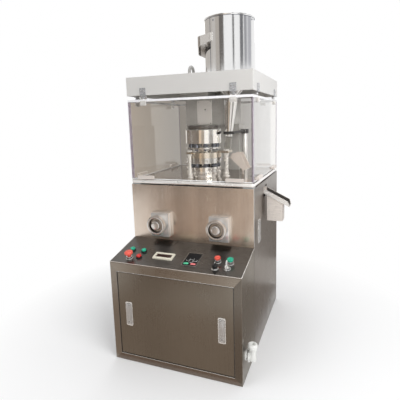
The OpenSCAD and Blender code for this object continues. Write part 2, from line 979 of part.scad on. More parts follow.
// Two side plates and an end plate that hang below the trough
module chute_skirt(y, w) {
    near = half_w + skirt_start;
    far = half_w + skirt_end;
    outline = [
        [near, skirt_bottom], [far, skirt_bottom],
        [far, chute_floor(far) + 1], [near, chute_floor(near) + 1]
    ];
    for (side = [y, y + w - chute_t])
        translate([0, side, 0]) extrude_y(chute_t) polygon(outline);
    block([far - chute_t, y, skirt_bottom], [far, y + w, chute_floor(far) + 1]);
}

// Knobs and adjusters

// A hollow bell knob with a hub, on a spindle that runs back through the panel
module hand_knob(x) {
    face_y = front_y - knob_out;
    color("silver") {
        difference() {
            union() {
                along_y(x, face_y, knob_z) cylinder(r = knob_r, h = knob_ring_t);
                along_y(x, face_y, knob_z) cylinder(r = knob_recess_r + 3, h = knob_recess_d + 4);
                along_y(x, face_y, knob_z) cylinder(r = knob_body_r, h = knob_out - boss_t - 1);
            }
            along_y(x, face_y - e, knob_z) cylinder(r = knob_recess_r, h = knob_recess_d);
        }
        along_y(x, face_y - 6, knob_z) cylinder(r = knob_hub_r, h = knob_recess_d + 10);
        along_y(x, face_y + knob_recess_d, knob_z)
            cylinder(r = spindle_r, h = spindle_end - face_y - knob_recess_d);
    }
}

module fill_knob() {
    hand_knob(-knob_x);
}

module pressure_knob() {
    hand_knob(knob_x);
}

// A nut on the spindle that carries the adjusting wedge
module spindle_nut(x) {
    color("gray")
    difference() {
        union() {
            translate([x, nut_y, knob_z]) {
                block([-nut_w / 2, 0, -nut_w / 2], [nut_w / 2, nut_len, nut_w / 2]);
                block([-nut_w / 4, 0, nut_w / 2 - 1], [nut_w / 4, nut_len, nut_w]);
            }
        }
        along_y(x, nut_y - e, knob_z) cylinder(r = spindle_r + run_gap, h = nut_len + 2 * e);
    }
}

module fill_nut() {
    spindle_nut(-knob_x);
}

module pressure_nut() {
    spindle_nut(knob_x);
}

// Drive

module gear_case() {
    low = wheel_z - case_h / 2;
    high = wheel_z + case_h / 2;
    color("seagreen")
    difference() {
        union() {
            block([-case_w / 2, case_front, low], [case_w / 2, case_back, high]);
            translate([0, turret_y, high - 1]) cylinder(r = tower_r, h = deck_bottom - high + 1);
        }
        block([-case_w / 2 + case_wall, case_front + case_wall, low + case_wall],
              [case_w / 2 - case_wall, case_back - case_wall, high - case_wall]);
        translate([0, turret_y, wheel_z]) cylinder(r = shaft_r + run_gap, h = deck_top - wheel_z);
        translate([0, turret_y, low - e]) cylinder(r = shaft_foot_r + run_gap, h = case_wall + 2 * e);
        along_x(-case_w, worm_y, wheel_z) cylinder(r = worm_shaft_r + run_gap, h = 2 * case_w);
    }
}

module worm_wheel() {
    color("peru")
    translate([0, turret_y, wheel_z - wheel_w / 2])
        difference() {
            union() {
                cylinder(r = wheel_r - gear_module - 2, h = wheel_w);
                for (i = [0:wheel_teeth - 1])
                    rotate([0, 0, i * 360 / wheel_teeth])
                        linear_extrude(height = wheel_w) wheel_tooth();
            }
            translate([0, 0, -e]) cylinder(r = shaft_r + run_gap, h = wheel_w + 2 * e);
        }
}

module wheel_tooth() {
    low = wheel_r - gear_module - 6;
    high = wheel_r + gear_module;
    polygon([[-tooth_base / 2, low], [tooth_base / 2, low],
             [tooth_tip / 2, high], [-tooth_tip / 2, high]]);
}

// Radius of the worm's cross-section at an angle from the middle of its thread
function worm_radius(a) =
    let (tip = 36, root = 93, off = abs(a))
    off <= tip ? worm_tip_r
    : off >= root ? worm_root_r
    : worm_tip_r + (worm_root_r - worm_tip_r) * (off - tip) / (root - tip);

module worm_shaft() {
    turns = worm_len / worm_lead;
    half_turn = 180;
    color("lightgray") {
        along_x(-worm_len / 2, worm_y, wheel_z)
            rotate([0, 0, 90 - turns * half_turn])
                linear_extrude(height = worm_len, twist = -360 * turns, slices = 36)
                    polygon([for (a = [-180:20:160]) worm_radius(a) * [cos(a), sin(a)]]);
        along_x(pulley_x - pulley_w / 2, worm_y, wheel_z)
            cylinder(r = worm_shaft_r, h = case_w / 2 + 10 - pulley_x + pulley_w / 2);
    }
}

module pulley(r, bore) {
    groove = 4;
    difference() {
        union() {
            cylinder(r = r, h = pulley_w);
            for (z = [0, pulley_w - groove])
                translate([0, 0, z]) cylinder(r = r + belt_t + 2, h = groove);
        }
        translate([0, 0, -e]) cylinder(r = bore, h = pulley_w + 2 * e);
    }
}

module drive_pulley() {
    color("darkgray")
        along_x(pulley_x - pulley_w / 2, worm_y, wheel_z)
            pulley(drive_pulley_r, worm_shaft_r + run_gap);
}

module motor_pulley() {
    color("darkgray") {
        along_x(pulley_x - pulley_w / 2, worm_y, motor_z) pulley(motor_pulley_r, motor_shaft_r);
        along_x(pulley_x - pulley_w / 2, worm_y, motor_z)
            cylinder(r = motor_shaft_r, h = motor_x - pulley_x + pulley_w / 2 + 20);
    }
}

module belt_outline(grow) {
    hull() {
        translate([0, 0]) circle(r = drive_pulley_r + belt_gap + grow);
        translate([wheel_z - motor_z, 0]) circle(r = motor_pulley_r + belt_gap + grow);
    }
}

module drive_belt() {
    color("black")
        along_x(pulley_x - belt_w / 2, worm_y, wheel_z)
            linear_extrude(height = belt_w)
                difference() {
                    belt_outline(belt_t);
                    belt_outline(0);
                }
}

// Finned motor on a foot that stands on the base plate
module motor() {
    fins = 16;
    color("slategray")
    difference() {
        union() {
            along_x(motor_x, worm_y, motor_z) cylinder(r = motor_r - 8, h = motor_len);
            for (i = [0:fins - 1])
                along_x(motor_x + 30, worm_y, motor_z)
                    rotate([0, 0, i * 360 / fins]) block([0, -2, 0], [motor_r, 2, motor_len - 60]);
            translate([motor_x + motor_len / 2, worm_y, base_t]) {
                block([-90, -70, 0], [90, 70, 10]);
                block([-70, -45, 0], [70, 45, motor_z - base_t - 40]);
            }
        }
        along_x(motor_x - e, worm_y, motor_z) cylinder(r = motor_shaft_r + run_gap, h = 30);
    }
}

// Controls on the console

module bezel(at, r, h) {
    on_console(at) tube(r, stem_r + stem_gap, h);
}

module control_bezels() {
    color("silver") {
        bezel(estop_at, 15, 12);
        bezel(stop_at, 13, 14);
        bezel(start_at, 13, 14);
        bezel(selector_at, 14, 5);
        bezel(key_at, 13, 10);
        for (at = left_buttons_at) bezel(at, 14, 4);
    }
}

// A round cap on a stem that runs through its bezel
module button(at, r, z, h) {
    on_console(at) {
        translate([0, 0, z]) cylinder(r = r, h = h);
        translate([0, 0, -14]) cylinder(r = stem_r, h = 14 + z + 1);
    }
}

module estop_button() {
    color("red") button(estop_at, 20, 19, 19);
}

module jog_button() {
    color("mediumseagreen") button(left_buttons_at[0], 12, 7, 8);
}

module run_button() {
    color("mediumseagreen") button(left_buttons_at[1], 12, 7, 8);
}

module reset_button() {
    color("red") button(left_buttons_at[2], 12, 7, 8);
}

module stop_button() {
    color("tomato") button(stop_at, 14, 18, 8);
}

module start_button() {
    color("mediumseagreen") button(start_at, 14, 18, 8);
}

module selector_knob() {
    color("black")
    on_console(selector_at) {
        translate([0, 0, -14]) cylinder(r = stem_r, h = 22);
        translate([0, 0, 6]) cylinder(r = 12, h = 12);
        block([-4, -11, 17], [4, 11, 27]);
    }
}

// The key in its switch, with a split ring and a spare key in front of it
module key() {
    ring_z = 33;
    color("silver")
    on_console(key_at) {
        translate([0, 0, -10]) cylinder(r = stem_r - 1, h = 20.5);
        block([-1.5, -4, 10], [1.5, 4, 24]);
        along_x(-1.5, 0, ring_z) cylinder(r = 11, h = 3);
        block([1.5, -20, ring_z - 2], [4.5, 3, ring_z + 2]);
        translate([0, -24, 0]) {
            block([1.5, -4, 3], [4.5, 4, 17]);
            block([1.5, -7, 16], [4.5, 7, 36]);
        }
    }
}

module meter() {
    color("ivory")
    on_console(meter_at)
        difference() {
            block([-50, -25, 0], [50, 25, 6]);
            block([-38, -8, 4], [38, 14, 6 + e]);
        }
}

module keypad() {
    keys = [[-17, -31], [17, -31], [-17, -8], [17, -8], [0, 2], [0, -18]];
    color("black")
    on_console(keypad_at) {
        block([-35, -50, 0], [35, 50, 3]);
        for (k = keys)
            block([k[0] - 9, k[1] - 4, 3 - e], [k[0] + 9, k[1] + 4, 4.5]);
    }
}

// Bulkhead elbow low on the right side, with a ribbed nut on its upward mouth
module cable_inlet() {
    reach = 30;
    nut_low = 32;
    nut_h = 26;
    nut_ribs = 14;
    color("white")
    difference() {
        union() {
            along_x(half_w - sheet_t, inlet_y, inlet_z) cylinder(r = 15, h = reach + sheet_t);
            along_x(half_w, inlet_y, inlet_z) cylinder(r = 24, h = 8);
            along_x(half_w + 14, inlet_y, inlet_z) cylinder(r = 29, h = 5);
            translate([half_w + reach, inlet_y, inlet_z - 20]) cylinder(r = 17, h = 20 + nut_low + 2);
            translate([half_w + reach, inlet_y, inlet_z + nut_low]) cylinder(r = 21, h = nut_h);
            for (i = [0:nut_ribs - 1])
                translate([half_w + reach, inlet_y, inlet_z + nut_low])
                    rotate([0, 0, i * 360 / nut_ribs]) block([15, -2.5, 2], [23, 2.5, nut_h - 2]);
        }
        translate([half_w + reach, inlet_y, inlet_z + 12]) cylinder(r = inlet_bore_r, h = 2 * nut_low);
        translate([half_w + reach, inlet_y, inlet_z - 9]) cylinder(r = inlet_throat_r, h = nut_low);
        along_x(half_w - 20, inlet_y, inlet_z) cylinder(r = inlet_throat_r - 1, h = reach + 20);
    }
}

base_frame();
left_side_panel();
right_side_panel();
rear_panel();
front_panel();
cabinet_shell();
console_panel();
deck();
top_cover();
head_frame();
lifting_eye();
upper_cam_drum();
lower_cam_housing();
feed_frame();
feed_posts();
hopper();
hopper_handle();
feed_tube();
feed_support();
inner_chute();
discharge_chute();
hinge_plates();
control_bezels();
meter();
keypad();
cable_inlet();
motor();
drive_belt();
gear_case();
turret();
dies();
upper_punches();
lower_punches();
main_shaft();
worm_wheel();
worm_shaft();
drive_pulley();
motor_pulley();
upper_roller();
lower_roller();
fill_knob();
pressure_knob();
fill_nut();
pressure_nut();
front_window();
left_window();
right_window();
rear_window();
front_door();
left_latch();
right_latch();
side_latch();
estop_button();
jog_button();
run_button();
reset_button();
stop_button();
start_button();
selector_knob();
key();
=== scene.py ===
"""Looks of a rotary tablet press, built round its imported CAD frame. Shapes are in millimetres."""

import math

import bmesh
import bpy
from mathutils import Matrix, Vector


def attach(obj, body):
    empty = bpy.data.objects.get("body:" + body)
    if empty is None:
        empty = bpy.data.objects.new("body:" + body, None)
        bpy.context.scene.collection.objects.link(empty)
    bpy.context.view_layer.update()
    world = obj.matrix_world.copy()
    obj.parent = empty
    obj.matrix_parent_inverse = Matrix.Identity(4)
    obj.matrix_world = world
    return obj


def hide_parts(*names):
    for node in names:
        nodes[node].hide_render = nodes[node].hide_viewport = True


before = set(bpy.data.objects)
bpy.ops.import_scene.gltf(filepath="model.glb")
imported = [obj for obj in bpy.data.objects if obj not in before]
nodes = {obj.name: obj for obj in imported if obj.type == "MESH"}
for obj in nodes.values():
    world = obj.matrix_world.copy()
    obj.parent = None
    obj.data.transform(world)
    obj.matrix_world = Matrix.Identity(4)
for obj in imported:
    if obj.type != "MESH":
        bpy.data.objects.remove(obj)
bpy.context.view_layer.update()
scene = bpy.context.scene

MM = 0.001
MICRON = 0.000001
QUARTER = math.pi / 2
SHARP = math.radians(32)
BEVEL_FROM = math.radians(40)
TO_FRONT, TO_REAR, TO_RIGHT, TO_LEFT = (0, -1, 0), (0, 1, 0), (1, 0, 0), (-1, 0, 0)

# Places on the press that several pieces share
HALF_W, HALF_D = 320.0, 300.0
MIDDLE = Vector((0.0, 112.5, 0.0))
FRONT_Y, CAB_Y = -187.5, -412.5
DECK_Z, COVER_TOP = 850.0, 1355.0
CONSOLE_Z, CONSOLE_RUN, CONSOLE_RISE = 497.0, 225.0, 49.0
CONSOLE_TURN = math.atan(CONSOLE_RISE / CONSOLE_RUN)
KNOB_X, KNOB_Z = 155.0, 637.0
TURRET = Vector((0.0, 27.5, 0.0))
HOPPER = Vector((149.0, 37.5, 0.0))


# Materials


class Finish:
    """One material: a Principled shader with patterns in the object's own coordinates."""

    def __init__(self, name, metal=0.0, **sockets):
        self.mat = bpy.data.materials.new(name)
        self.mat.use_nodes = True
        self.tree = self.mat.node_tree
        self.shader = self.tree.nodes["Principled BSDF"]
        self.surface = self.tree.nodes["Material Output"].inputs["Surface"]
        self.shader.inputs["Metallic"].default_value = metal
        for key, value in sockets.items():
            self.shader.inputs[key.replace("_", " ")].default_value = value
        self.place = self.node("ShaderNodeTexCoord").outputs["Object"]

    def node(self, kind, **values):
        made = self.tree.nodes.new(kind)
        for key, value in values.items():
            setattr(made, key, value)
        return made

    def link(self, source, target):
        self.tree.links.new(source, target)

    def noise(self, stretch, detail=3.0, rough=0.55, warp=0.0):
        """Noise whose grain per metre along x, y and z is given by stretch."""
        place = self.node("ShaderNodeMapping")
        place.inputs["Scale"].default_value = stretch
        self.link(self.place, place.inputs["Vector"])
        made = self.node("ShaderNodeTexNoise")
        made.inputs["Scale"].default_value = 1.0
        made.inputs["Detail"].default_value = detail
        made.inputs["Roughness"].default_value = rough
        made.inputs["Distortion"].default_value = warp
        self.link(place.outputs["Vector"], made.inputs["Vector"])
        return made.outputs["Fac"]

    def spread(self, value, low, high, start=0.3, end=0.7):
        """Maps a pattern's middle range onto low to high."""
        made = self.node("ShaderNodeMapRange")
        ends = (("From Min", start), ("From Max", end), ("To Min", low), ("To Max", high))
        for key, number in ends:
            made.inputs[key].default_value = number
        self.link(value, made.inputs["Value"])
        return made.outputs["Result"]

    def sum(self, *weighted):
        """Adds patterns, each with its weight."""
        total = None
        for value, weight in weighted:
            part = self.node("ShaderNodeMath", operation="MULTIPLY")
            part.inputs[1].default_value = weight
            self.link(value, part.inputs[0])
            if total is None:
                total = part.outputs[0]
                continue
            both = self.node("ShaderNodeMath", operation="ADD")
            self.link(total, both.inputs[0])
            self.link(part.outputs[0], both.inputs[1])
            total = both.outputs[0]
        return total

    def ramp(self, value, stops):
        """Colours along stops of (place, colour)."""
        ramp = self.node("ShaderNodeValToRGB")
        bar = ramp.color_ramp.elements
        while len(bar) < len(stops):
            bar.new(0.5)
        for element, (place, rgb) in zip(bar, stops):
            element.position = place
            element.color = (*rgb, 1.0)
        self.link(value, ramp.inputs["Fac"])
        return ramp.outputs["Color"]

    def colour(self, value, stops):
        """Colours the surface by a pattern."""
        self.link(self.ramp(value, stops), self.shader.inputs["Base Color"])

    def rough(self, value, low, high):
        self.link(self.spread(value, low, high), self.shader.inputs["Roughness"])

    def bump(self, value, depth):
        made = self.node("ShaderNodeBump")
        made.inputs["Strength"].default_value = 1.0
        made.inputs["Distance"].default_value = depth
        self.link(value, made.inputs["Height"])
        self.link(made.outputs["Normal"], self.shader.inputs["Normal"])

    def give_way(self, share, other):
        """Shows another shader for a share of the rays."""
        mix = self.node("ShaderNodeMixShader")
        self.link(share, mix.inputs["Fac"])
        self.link(self.shader.outputs["BSDF"], mix.inputs[1])
        self.link(other, mix.inputs[2])
        self.link(mix.outputs["Shader"], self.surface)


def around(rgb, contrast):
    """Ramp stops from a darker to a lighter tone of a colour."""
    return [(0.3, tint(rgb, 1 - contrast)), (0.7, tint(rgb, 1 + contrast))]


def tint(rgb, factor):
    return tuple(min(1.0, c * factor) for c in rgb)


def steel(name, rgb, rough, grain, bands, contrast, depth, metal=1.0):
    """Sheet steel: fine grain of a depth in micrometres, wide soft bands, hand marks."""
    made = Finish(name, metal=metal)
    lines = made.noise(grain, detail=2.0)
    soft = made.noise(bands, detail=1.0)
    marks = made.noise((9.0, 9.0, 9.0), detail=4.0, rough=0.62, warp=0.4)
    tone = made.sum((lines, 0.35), (soft, 0.55), (marks, 0.1))
    dark, light = around(rgb, contrast)
    made.colour(tone, [dark, (0.5, rgb), light])
    made.rough(made.sum((lines, 0.45), (marks, 0.55)), rough - 0.07, rough + 0.07)
    made.bump(lines, depth * MICRON)
    return made.mat


def turned(name, rgb, rough, contrast=0.1, metal=1.0):
    """Turned or ground metal: fine rings along z with a little oil haze."""
    made = Finish(name, metal=metal)
    lines = made.noise((30.0, 30.0, 1500.0), detail=2.0)
    haze = made.noise((22.0, 22.0, 22.0), detail=4.0, rough=0.6)
    made.colour(made.sum((lines, 0.55), (haze, 0.45)), around(rgb, contrast))
    made.rough(haze, rough - 0.04, rough + 0.07)
    made.bump(lines, 20 * MICRON)
    return made.mat


def plastic(name, rgb, rough, contrast=0.07, depth=40, **sockets):
    """Moulded plastic: fine texture, faint mottling and handled, shinier patches."""
    made = Finish(name, **sockets)
    fine = made.noise((2600.0, 2600.0, 2600.0), detail=2.0)
    patch = made.noise((60.0, 60.0, 60.0), detail=4.0, rough=0.6)
    made.colour(patch, around(rgb, contrast))
    made.rough(patch, rough - 0.06, rough + 0.08)
    made.bump(fine, depth * MICRON)
    return made.mat


def paint(name, rgb, rough, metal=0.0):
    """Sprayed paint with a slight orange peel and handling marks."""
    made = Finish(name, metal=metal)
    peel = made.noise((420.0, 420.0, 420.0), detail=2.0)
    marks = made.noise((5.0, 5.0, 5.0), detail=5.0, rough=0.62, warp=0.3)
    made.colour(marks, around(rgb, 0.05))
    made.rough(marks, rough - 0.06, rough + 0.08)
    made.bump(peel, 50 * MICRON)
    return made.mat


def cast(name, rgb, rough=0.55, metal=0.6):
    """Machined casting: coarse skin with darker pits."""
    made = Finish(name, metal=metal)
    pits = made.noise((240.0, 240.0, 240.0), detail=5.0, rough=0.65)
    stain = made.noise((8.0, 8.0, 8.0), detail=4.0)
    tone = made.sum((pits, 0.5), (stain, 0.5))
    made.colour(tone, [(0.32, tint(rgb, 0.72)), (0.68, tint(rgb, 1.18))])
    made.rough(stain, rough - 0.1, rough + 0.12)
    made.bump(pits, 200 * MICRON)
    return made.mat


def mirror(name, rgb, rough):
    """Mirror-polished sheet that is rolled by hand, so that its reflections waver."""
    made = Finish(name, metal=1.0)
    lines = made.noise((300.0, 300.0, 4.0), detail=2.0)
    waves = made.noise((8.0, 8.0, 2.0), detail=1.0)
    haze = made.noise((9.0, 9.0, 0.6), detail=2.0)
    made.colour(haze, around(rgb, 0.06))
    made.rough(made.sum((lines, 0.4), (haze, 0.6)), rough - 0.04, rough + 0.05)
    made.bump(made.sum((waves, 1600 * MICRON), (lines, 10 * MICRON)), 1.0)
    return made.mat


def clear(name, rgb, rough, ior, shade):
    """Clear sheet or tube that lets the lamps through, with faint wiping marks."""
    made = Finish(name, Roughness=rough, IOR=ior, Transmission_Weight=1.0)
    made.shader.inputs["Base Color"].default_value = (*rgb, 1.0)
    wipes = made.noise((3.0, 60.0, 14.0), detail=4.0, warp=1.2)
    made.rough(wipes, rough, rough + 0.03)
    path = made.node("ShaderNodeLightPath")
    through = made.node("ShaderNodeBsdfTransparent")
    through.inputs["Color"].default_value = (*shade, 1.0)
    made.give_way(path.outputs["Is Shadow Ray"], through.outputs["BSDF"])
    return made.mat


# Grain along z or along x, and grain of small pieces
UPRIGHT, CROSS, FINE = (1300.0, 1300.0, 9.0), (9.0, 1300.0, 1300.0), (60.0, 60.0, 300.0)
# Soft bands of equal width every way, per metre
WIDE, EVEN, NARROW = (3.0, 3.0, 3.0), (6.0, 6.0, 6.0), (20.0, 20.0, 20.0)

PANEL = steel("panel_steel", (0.82, 0.715, 0.62), 0.22, UPRIGHT, (11.0, 11.0, 0.15), 0.2, 30)
SIDE = steel("side_steel", (0.26, 0.23, 0.205), 0.3, UPRIGHT, (4.0, 4.0, 0.6), 0.12, 30)
CABINET = steel("cabinet_steel", (0.25, 0.222, 0.185), 0.3, UPRIGHT, (3.0, 3.0, 1.5), 0.15, 30)
CONSOLE = steel("console_steel", (0.17, 0.163, 0.156), 0.3, CROSS, (2.5, 5.0, 5.0), 0.12, 30)
DECK = steel("deck_steel", (0.42, 0.375, 0.33), 0.14, CROSS, WIDE, 0.08, 20)
COVER = steel("cover_steel", (0.69, 0.677, 0.655), 0.36, CROSS, (1.5, 1.5, 1.5), 0.03, 10, 0.3)
FRAME = paint("frame_paint", (0.33, 0.34, 0.34), 0.5)
CASTING = cast("casting", (0.52, 0.515, 0.5))
HEAD = cast("head_casting", (0.56, 0.55, 0.53), 0.5, 0.25)
CHROME = mirror("chrome", (0.82, 0.82, 0.82), 0.11)
POLISHED = turned("polished_steel", (0.7, 0.69, 0.67), 0.15)
DRUM = turned("drum_steel", (0.93, 0.915, 0.89), 0.12, 0.05)
TOOL = turned("tool_steel", (0.2, 0.215, 0.25), 0.25)
BRASS = turned("feed_brass", (0.76, 0.7, 0.61), 0.18, 0.06)
BRONZE = cast("bronze", (0.42, 0.25, 0.11), 0.4, 0.9)
SILVER = steel("silver_metal", (0.68, 0.68, 0.67), 0.24, (60.0, 60.0, 900.0), NARROW, 0.1, 20)
ZINC = steel("chute_steel", (0.8, 0.74, 0.685), 0.3, CROSS, EVEN, 0.06, 20, 0.35)
# This is bright metal, and also paints highlights on edges and faces
BRIGHT = steel("bright_metal_and_highlight", (0.88, 0.86, 0.83), 0.26, (40.0, 40.0, 40.0), (12.0, 12.0, 12.0),
               0.06, 10, 0.55)
BOSS = steel("boss_steel", (0.8, 0.78, 0.76), 0.2, UPRIGHT, (26.0, 26.0, 1.0), 0.2, 10, 0.68)
LATCH = steel("latch_steel", (0.5, 0.485, 0.47), 0.3, FINE, NARROW, 0.04, 5, 0.6)
HINGE = steel("hinge_steel", (0.5, 0.505, 0.52), 0.28, FINE, NARROW, 0.04, 5, 0.6)
# This finish paints a highlight on the deck's rounded edge
NOSING_HIGHLIGHT = steel("nosing_painted_highlight", (0.9, 0.88, 0.85), 0.3, (4.0, 4.0, 40.0), WIDE, 0.03, 2, 0.4)
# This dark finish paints shade in gaps and hollows, and colours the dark seam at the right side
SHADE_AND_SEAM = steel("shade_and_seam_steel", (0.17, 0.16, 0.15), 0.3, CROSS, EVEN, 0.08, 20, 0.8)
PLATE = steel("plate_steel", (0.92, 0.89, 0.86), 0.35, UPRIGHT, EVEN, 0.04, 10, 0.1)
STRAP = turned("strap_steel", (0.56, 0.53, 0.5), 0.2, 0.06)
STAY = turned("stay_steel", (0.72, 0.71, 0.7), 0.2, 0.06, 0.6)
# Satin chrome is the knobs' finish, and also paints a highlight on the console's front edge and shade
# under the deck's edge
SATIN = turned("satin_chrome", (0.72, 0.685, 0.65), 0.18, 0.06, 0.9)
# This dark finish paints shade on the wall of the knobs' recess
RECESS_SHADE = turned("painted_recess_shade", (0.07, 0.065, 0.06), 0.35, 0.15)
RECESS = turned("recess_steel", (0.5, 0.44, 0.38), 0.3, 0.08)
# These two paint a highlight on the panes' edges and shade at their ends
PANE_HIGHLIGHT = plastic("acrylic_edge_highlight", (0.84, 0.83, 0.84), 0.22, 0.04)
EDGE_SHADE = plastic("acrylic_edge_shade", (0.4, 0.35, 0.4), 0.25, 0.06)
ACRYLIC = clear("clear_acrylic", (0.955, 0.945, 0.93), 0.0, 1.49, (0.97, 0.97, 0.96))
TUBE = clear("tube_plastic", (0.9, 0.89, 0.86), 0.22, 1.45, (0.8, 0.8, 0.78))
WHITE = plastic("white_plastic", (0.8, 0.8, 0.77), 0.38)
CREAM = plastic("cream_plastic", (0.74, 0.7, 0.58), 0.36)
RED = plastic("red_plastic", (0.62, 0.035, 0.03), 0.3)
ORANGE = plastic("orange_red_plastic", (0.8, 0.11, 0.075), 0.32)
GREEN = plastic("green_plastic", (0.02, 0.42, 0.26), 0.3)
PALE_GREEN = plastic("pale_green_plastic", (0.1, 0.6, 0.34), 0.3)
PALE_RED = plastic("pale_red_plastic", (0.85, 0.22, 0.22), 0.3)
BLACK = plastic("black_plastic", (0.016, 0.016, 0.017), 0.34)
PAD_BLACK = plastic("pad_plastic", (0.012, 0.012, 0.013), 0.5, Specular_IOR_Level=0.15)
GLASS = plastic("display_window", (0.035, 0.012, 0.01), 0.1, depth=10)
RUBBER = plastic("belt_rubber", (0.025, 0.025, 0.026), 0.62, depth=100)
MOTOR = paint("motor_paint", (0.1, 0.15, 0.19), 0.42)
OFFWHITE = paint("tray_finish", (0.72, 0.65, 0.6), 0.38, 0.2)
# The four faces of the cabinet's front frame carry painted light and shade: each face gets its own painted
# tone of one steel, lighter where light falls on it and darker where it is in shade
FLANGE_SHADES = {"bottom": (0.22, 0.178, 0.146), "right": (0.19, 0.168, 0.143),
           "top": (0.34, 0.298, 0.25), "left": (0.31, 0.275, 0.235)}


# Shapes


def matrix(origin, x, y, z):
    """Places local axes x, y, z at origin."""
    cols = [Vector(v).normalized() for v in (x, y, z)]
    return Matrix.Translation(Vector(origin)) @ Matrix(cols).transposed().to_4x4()


def at(x, y, z):
    return Matrix.Translation((x, y, z))


def about(axis, angle):
    """A turn about a local axis."""
    return Matrix.Rotation(angle, 4, axis)


def facing(x, y, z, out):
    """Local z points along out, and local y points up or, for an upright axis, back."""
    out = Vector(out).normalized()
    up = Vector((0, 1, 0)) if abs(out.z) > 0.9 else Vector((0, 0, 1))
    side = up.cross(out).normalized()
    return matrix((x, y, z), side, out.cross(side), out)


def level(angle):
    """A level direction at an angle in degrees."""
    return Vector((math.cos(math.radians(angle)), math.sin(math.radians(angle)), 0))


def console(x, u):
    """A place on the sloped console, u up its slope, with local z square to it."""
    c, s = math.cos(CONSOLE_TURN), math.sin(CONSOLE_TURN)
    return matrix((x, CAB_Y + u * c, CONSOLE_Z + u * s), (1, 0, 0), (0, c, s), (0, -s, c))


def append(bm, part, where):
    """Adds a part to a drawing at a place."""
    part.transform(where)
    held = bpy.data.meshes.new("held")
    part.to_mesh(held)
    part.free()
    bm.from_mesh(held)
    bpy.data.meshes.remove(held)


def skin(bm, rings, closed=False):
    """Faces between rings with as many points each; closed joins the last ring to the first."""
    for a, b in zip(rings, rings[1:] + rings[:1] if closed else rings[1:]):
        for i in range(len(a)):
            j = (i + 1) % len(a)
            bm.faces.new((a[i], a[j], b[j], b[i]))


def turn(bm, profile, where=Matrix(), steps=48, loop=False, knurl=None):
    """Turns (radius, height) points about local z. knurl is (low, high, depth) of cuts."""
    rings = []
    for r, z in profile:
        ring = []
        for i in range(steps if r > 0 else 1):
            cut = knurl[2] if knurl and knurl[0] <= z <= knurl[1] and i % 2 else 0.0
            a = math.tau * i / steps
            spot = Vector(((r - cut) * math.cos(a), (r - cut) * math.sin(a), z))
            ring.append(bm.verts.new(where @ spot))
        rings.append(ring)
    for a, b in zip(rings, rings[1:] + rings[:1] if loop else rings[1:]):
        for i in range(steps):
            j = (i + 1) % steps
            around_face = (a[i % len(a)], b[i % len(b)], b[j % len(b)], a[j % len(a)])
            corners = list(dict.fromkeys(around_face))
            if len(corners) > 2:
                bm.faces.new(corners)


def block(bm, low, high, r=0.0, where=Matrix(), steps=3):
    """A box with rounded edges."""
    part = bmesh.new()
    bmesh.ops.create_cube(part, size=1.0)
    low, high = Vector(low), Vector(high)
    size, mid = high - low, (high + low) / 2
    for v in part.verts:
        v.co = Vector(v.co[i] * size[i] + mid[i] for i in range(3))
    if r:
        bmesh.ops.bevel(part, geom=part.edges[:], offset=r, segments=steps, profile=0.5, affect="EDGES")
    append(bm, part, where)


def rounded(w, h, r, steps=6):
    """Outline of a rounded rectangle about the origin."""
    points = []
    for k, (sx, sy) in enumerate(((1, 1), (-1, 1), (-1, -1), (1, -1))):
        for i in range(steps + 1):
            a = QUARTER * (k + i / steps)
            points.append((sx * (w / 2 - r) + r * math.cos(a), sy * (h / 2 - r) + r * math.sin(a)))
    return points


def prism(bm, outline, low, high, r=0.0, where=Matrix(), steps=3):
    """Raises an outline from low to high and rounds its upper edge."""
    part = bmesh.new()
    base, top = ([part.verts.new((x, y, z)) for x, y in outline] for z in (low, high))
    skin(part, [base, top])
    part.faces.new(base[::-1])
    part.faces.new(top)
    if r:
        upper = [e for e in part.edges if all(v in top for v in e.verts)]
        bmesh.ops.bevel(part, geom=upper, offset=r, segments=steps, profile=0.5, affect="EDGES")
    append(bm, part, where)


def rim(bm, outer, inner, low, high, where=Matrix()):
    """A flat ring between two outlines with as many points each."""
    part = bmesh.new()
    lines = ((outer, low), (outer, high), (inner, high), (inner, low))
    skin(part, [[part.verts.new((x, y, z)) for x, y in line] for line, z in lines], closed=True)
    append(bm, part, where)


def ribbon(bm, stations):
    """A plate along stations of (middle point, sideways direction, thickness, low, high)."""
    rings = [[bm.verts.new(mid + out * t / 2 * s + Vector((0, 0, z)))
              for s, z in ((1, low), (1, high), (-1, high), (-1, low))]
             for mid, out, t, low, high in stations]
    skin(bm, rings)
    bm.faces.new(rings[0])
    bm.faces.new(rings[-1][::-1])


def sheet(bm, points, across):
    """A thin sheet between points and the same points moved across."""
    near = [bm.verts.new(p) for p in points]
    far = [bm.verts.new(Vector(p) + Vector(across)) for p in points]
    skin(bm, [near, far])
    bm.faces.new(near[::-1])
    bm.faces.new(far)


def torus(bm, big, small, where, steps=64, points=20):
    turns = [math.tau * k / points for k in range(points)]
    turn(bm, [(big + small * math.cos(a), small * math.sin(a)) for a in turns], where, steps, loop=True)


def screw(bm, where, r=3.5):
    """A button-head socket screw."""
    turn(bm, [(r, 0), (r, 0.3 * r), (0.93 * r, 0.5 * r), (0.75 * r, 0.66 * r), (0.5 * r, 0.7 * r),
              (0.46 * r, 0.66 * r), (0.44 * r, 0.3 * r), (0, 0.3 * r)], where, 24)


def hexhead(bm, where, r=6.0, h=5.0):
    """A chamfered hexagon head or nut."""
    turn(bm, [(0, 0), (r, 0), (r, 0.8 * h), (0.84 * r, h), (0, h)], where, 6)


def place_mesh(bm, name, mat):
    """Turns a drawing into an object of the scene with one material."""
    mesh = bpy.data.meshes.new(name)
    bm.to_mesh(mesh)
    bm.free()
    mesh.materials.append(mat)
    made = bpy.data.objects.new(name, mesh)
    scene.collection.objects.link(made)
    return made


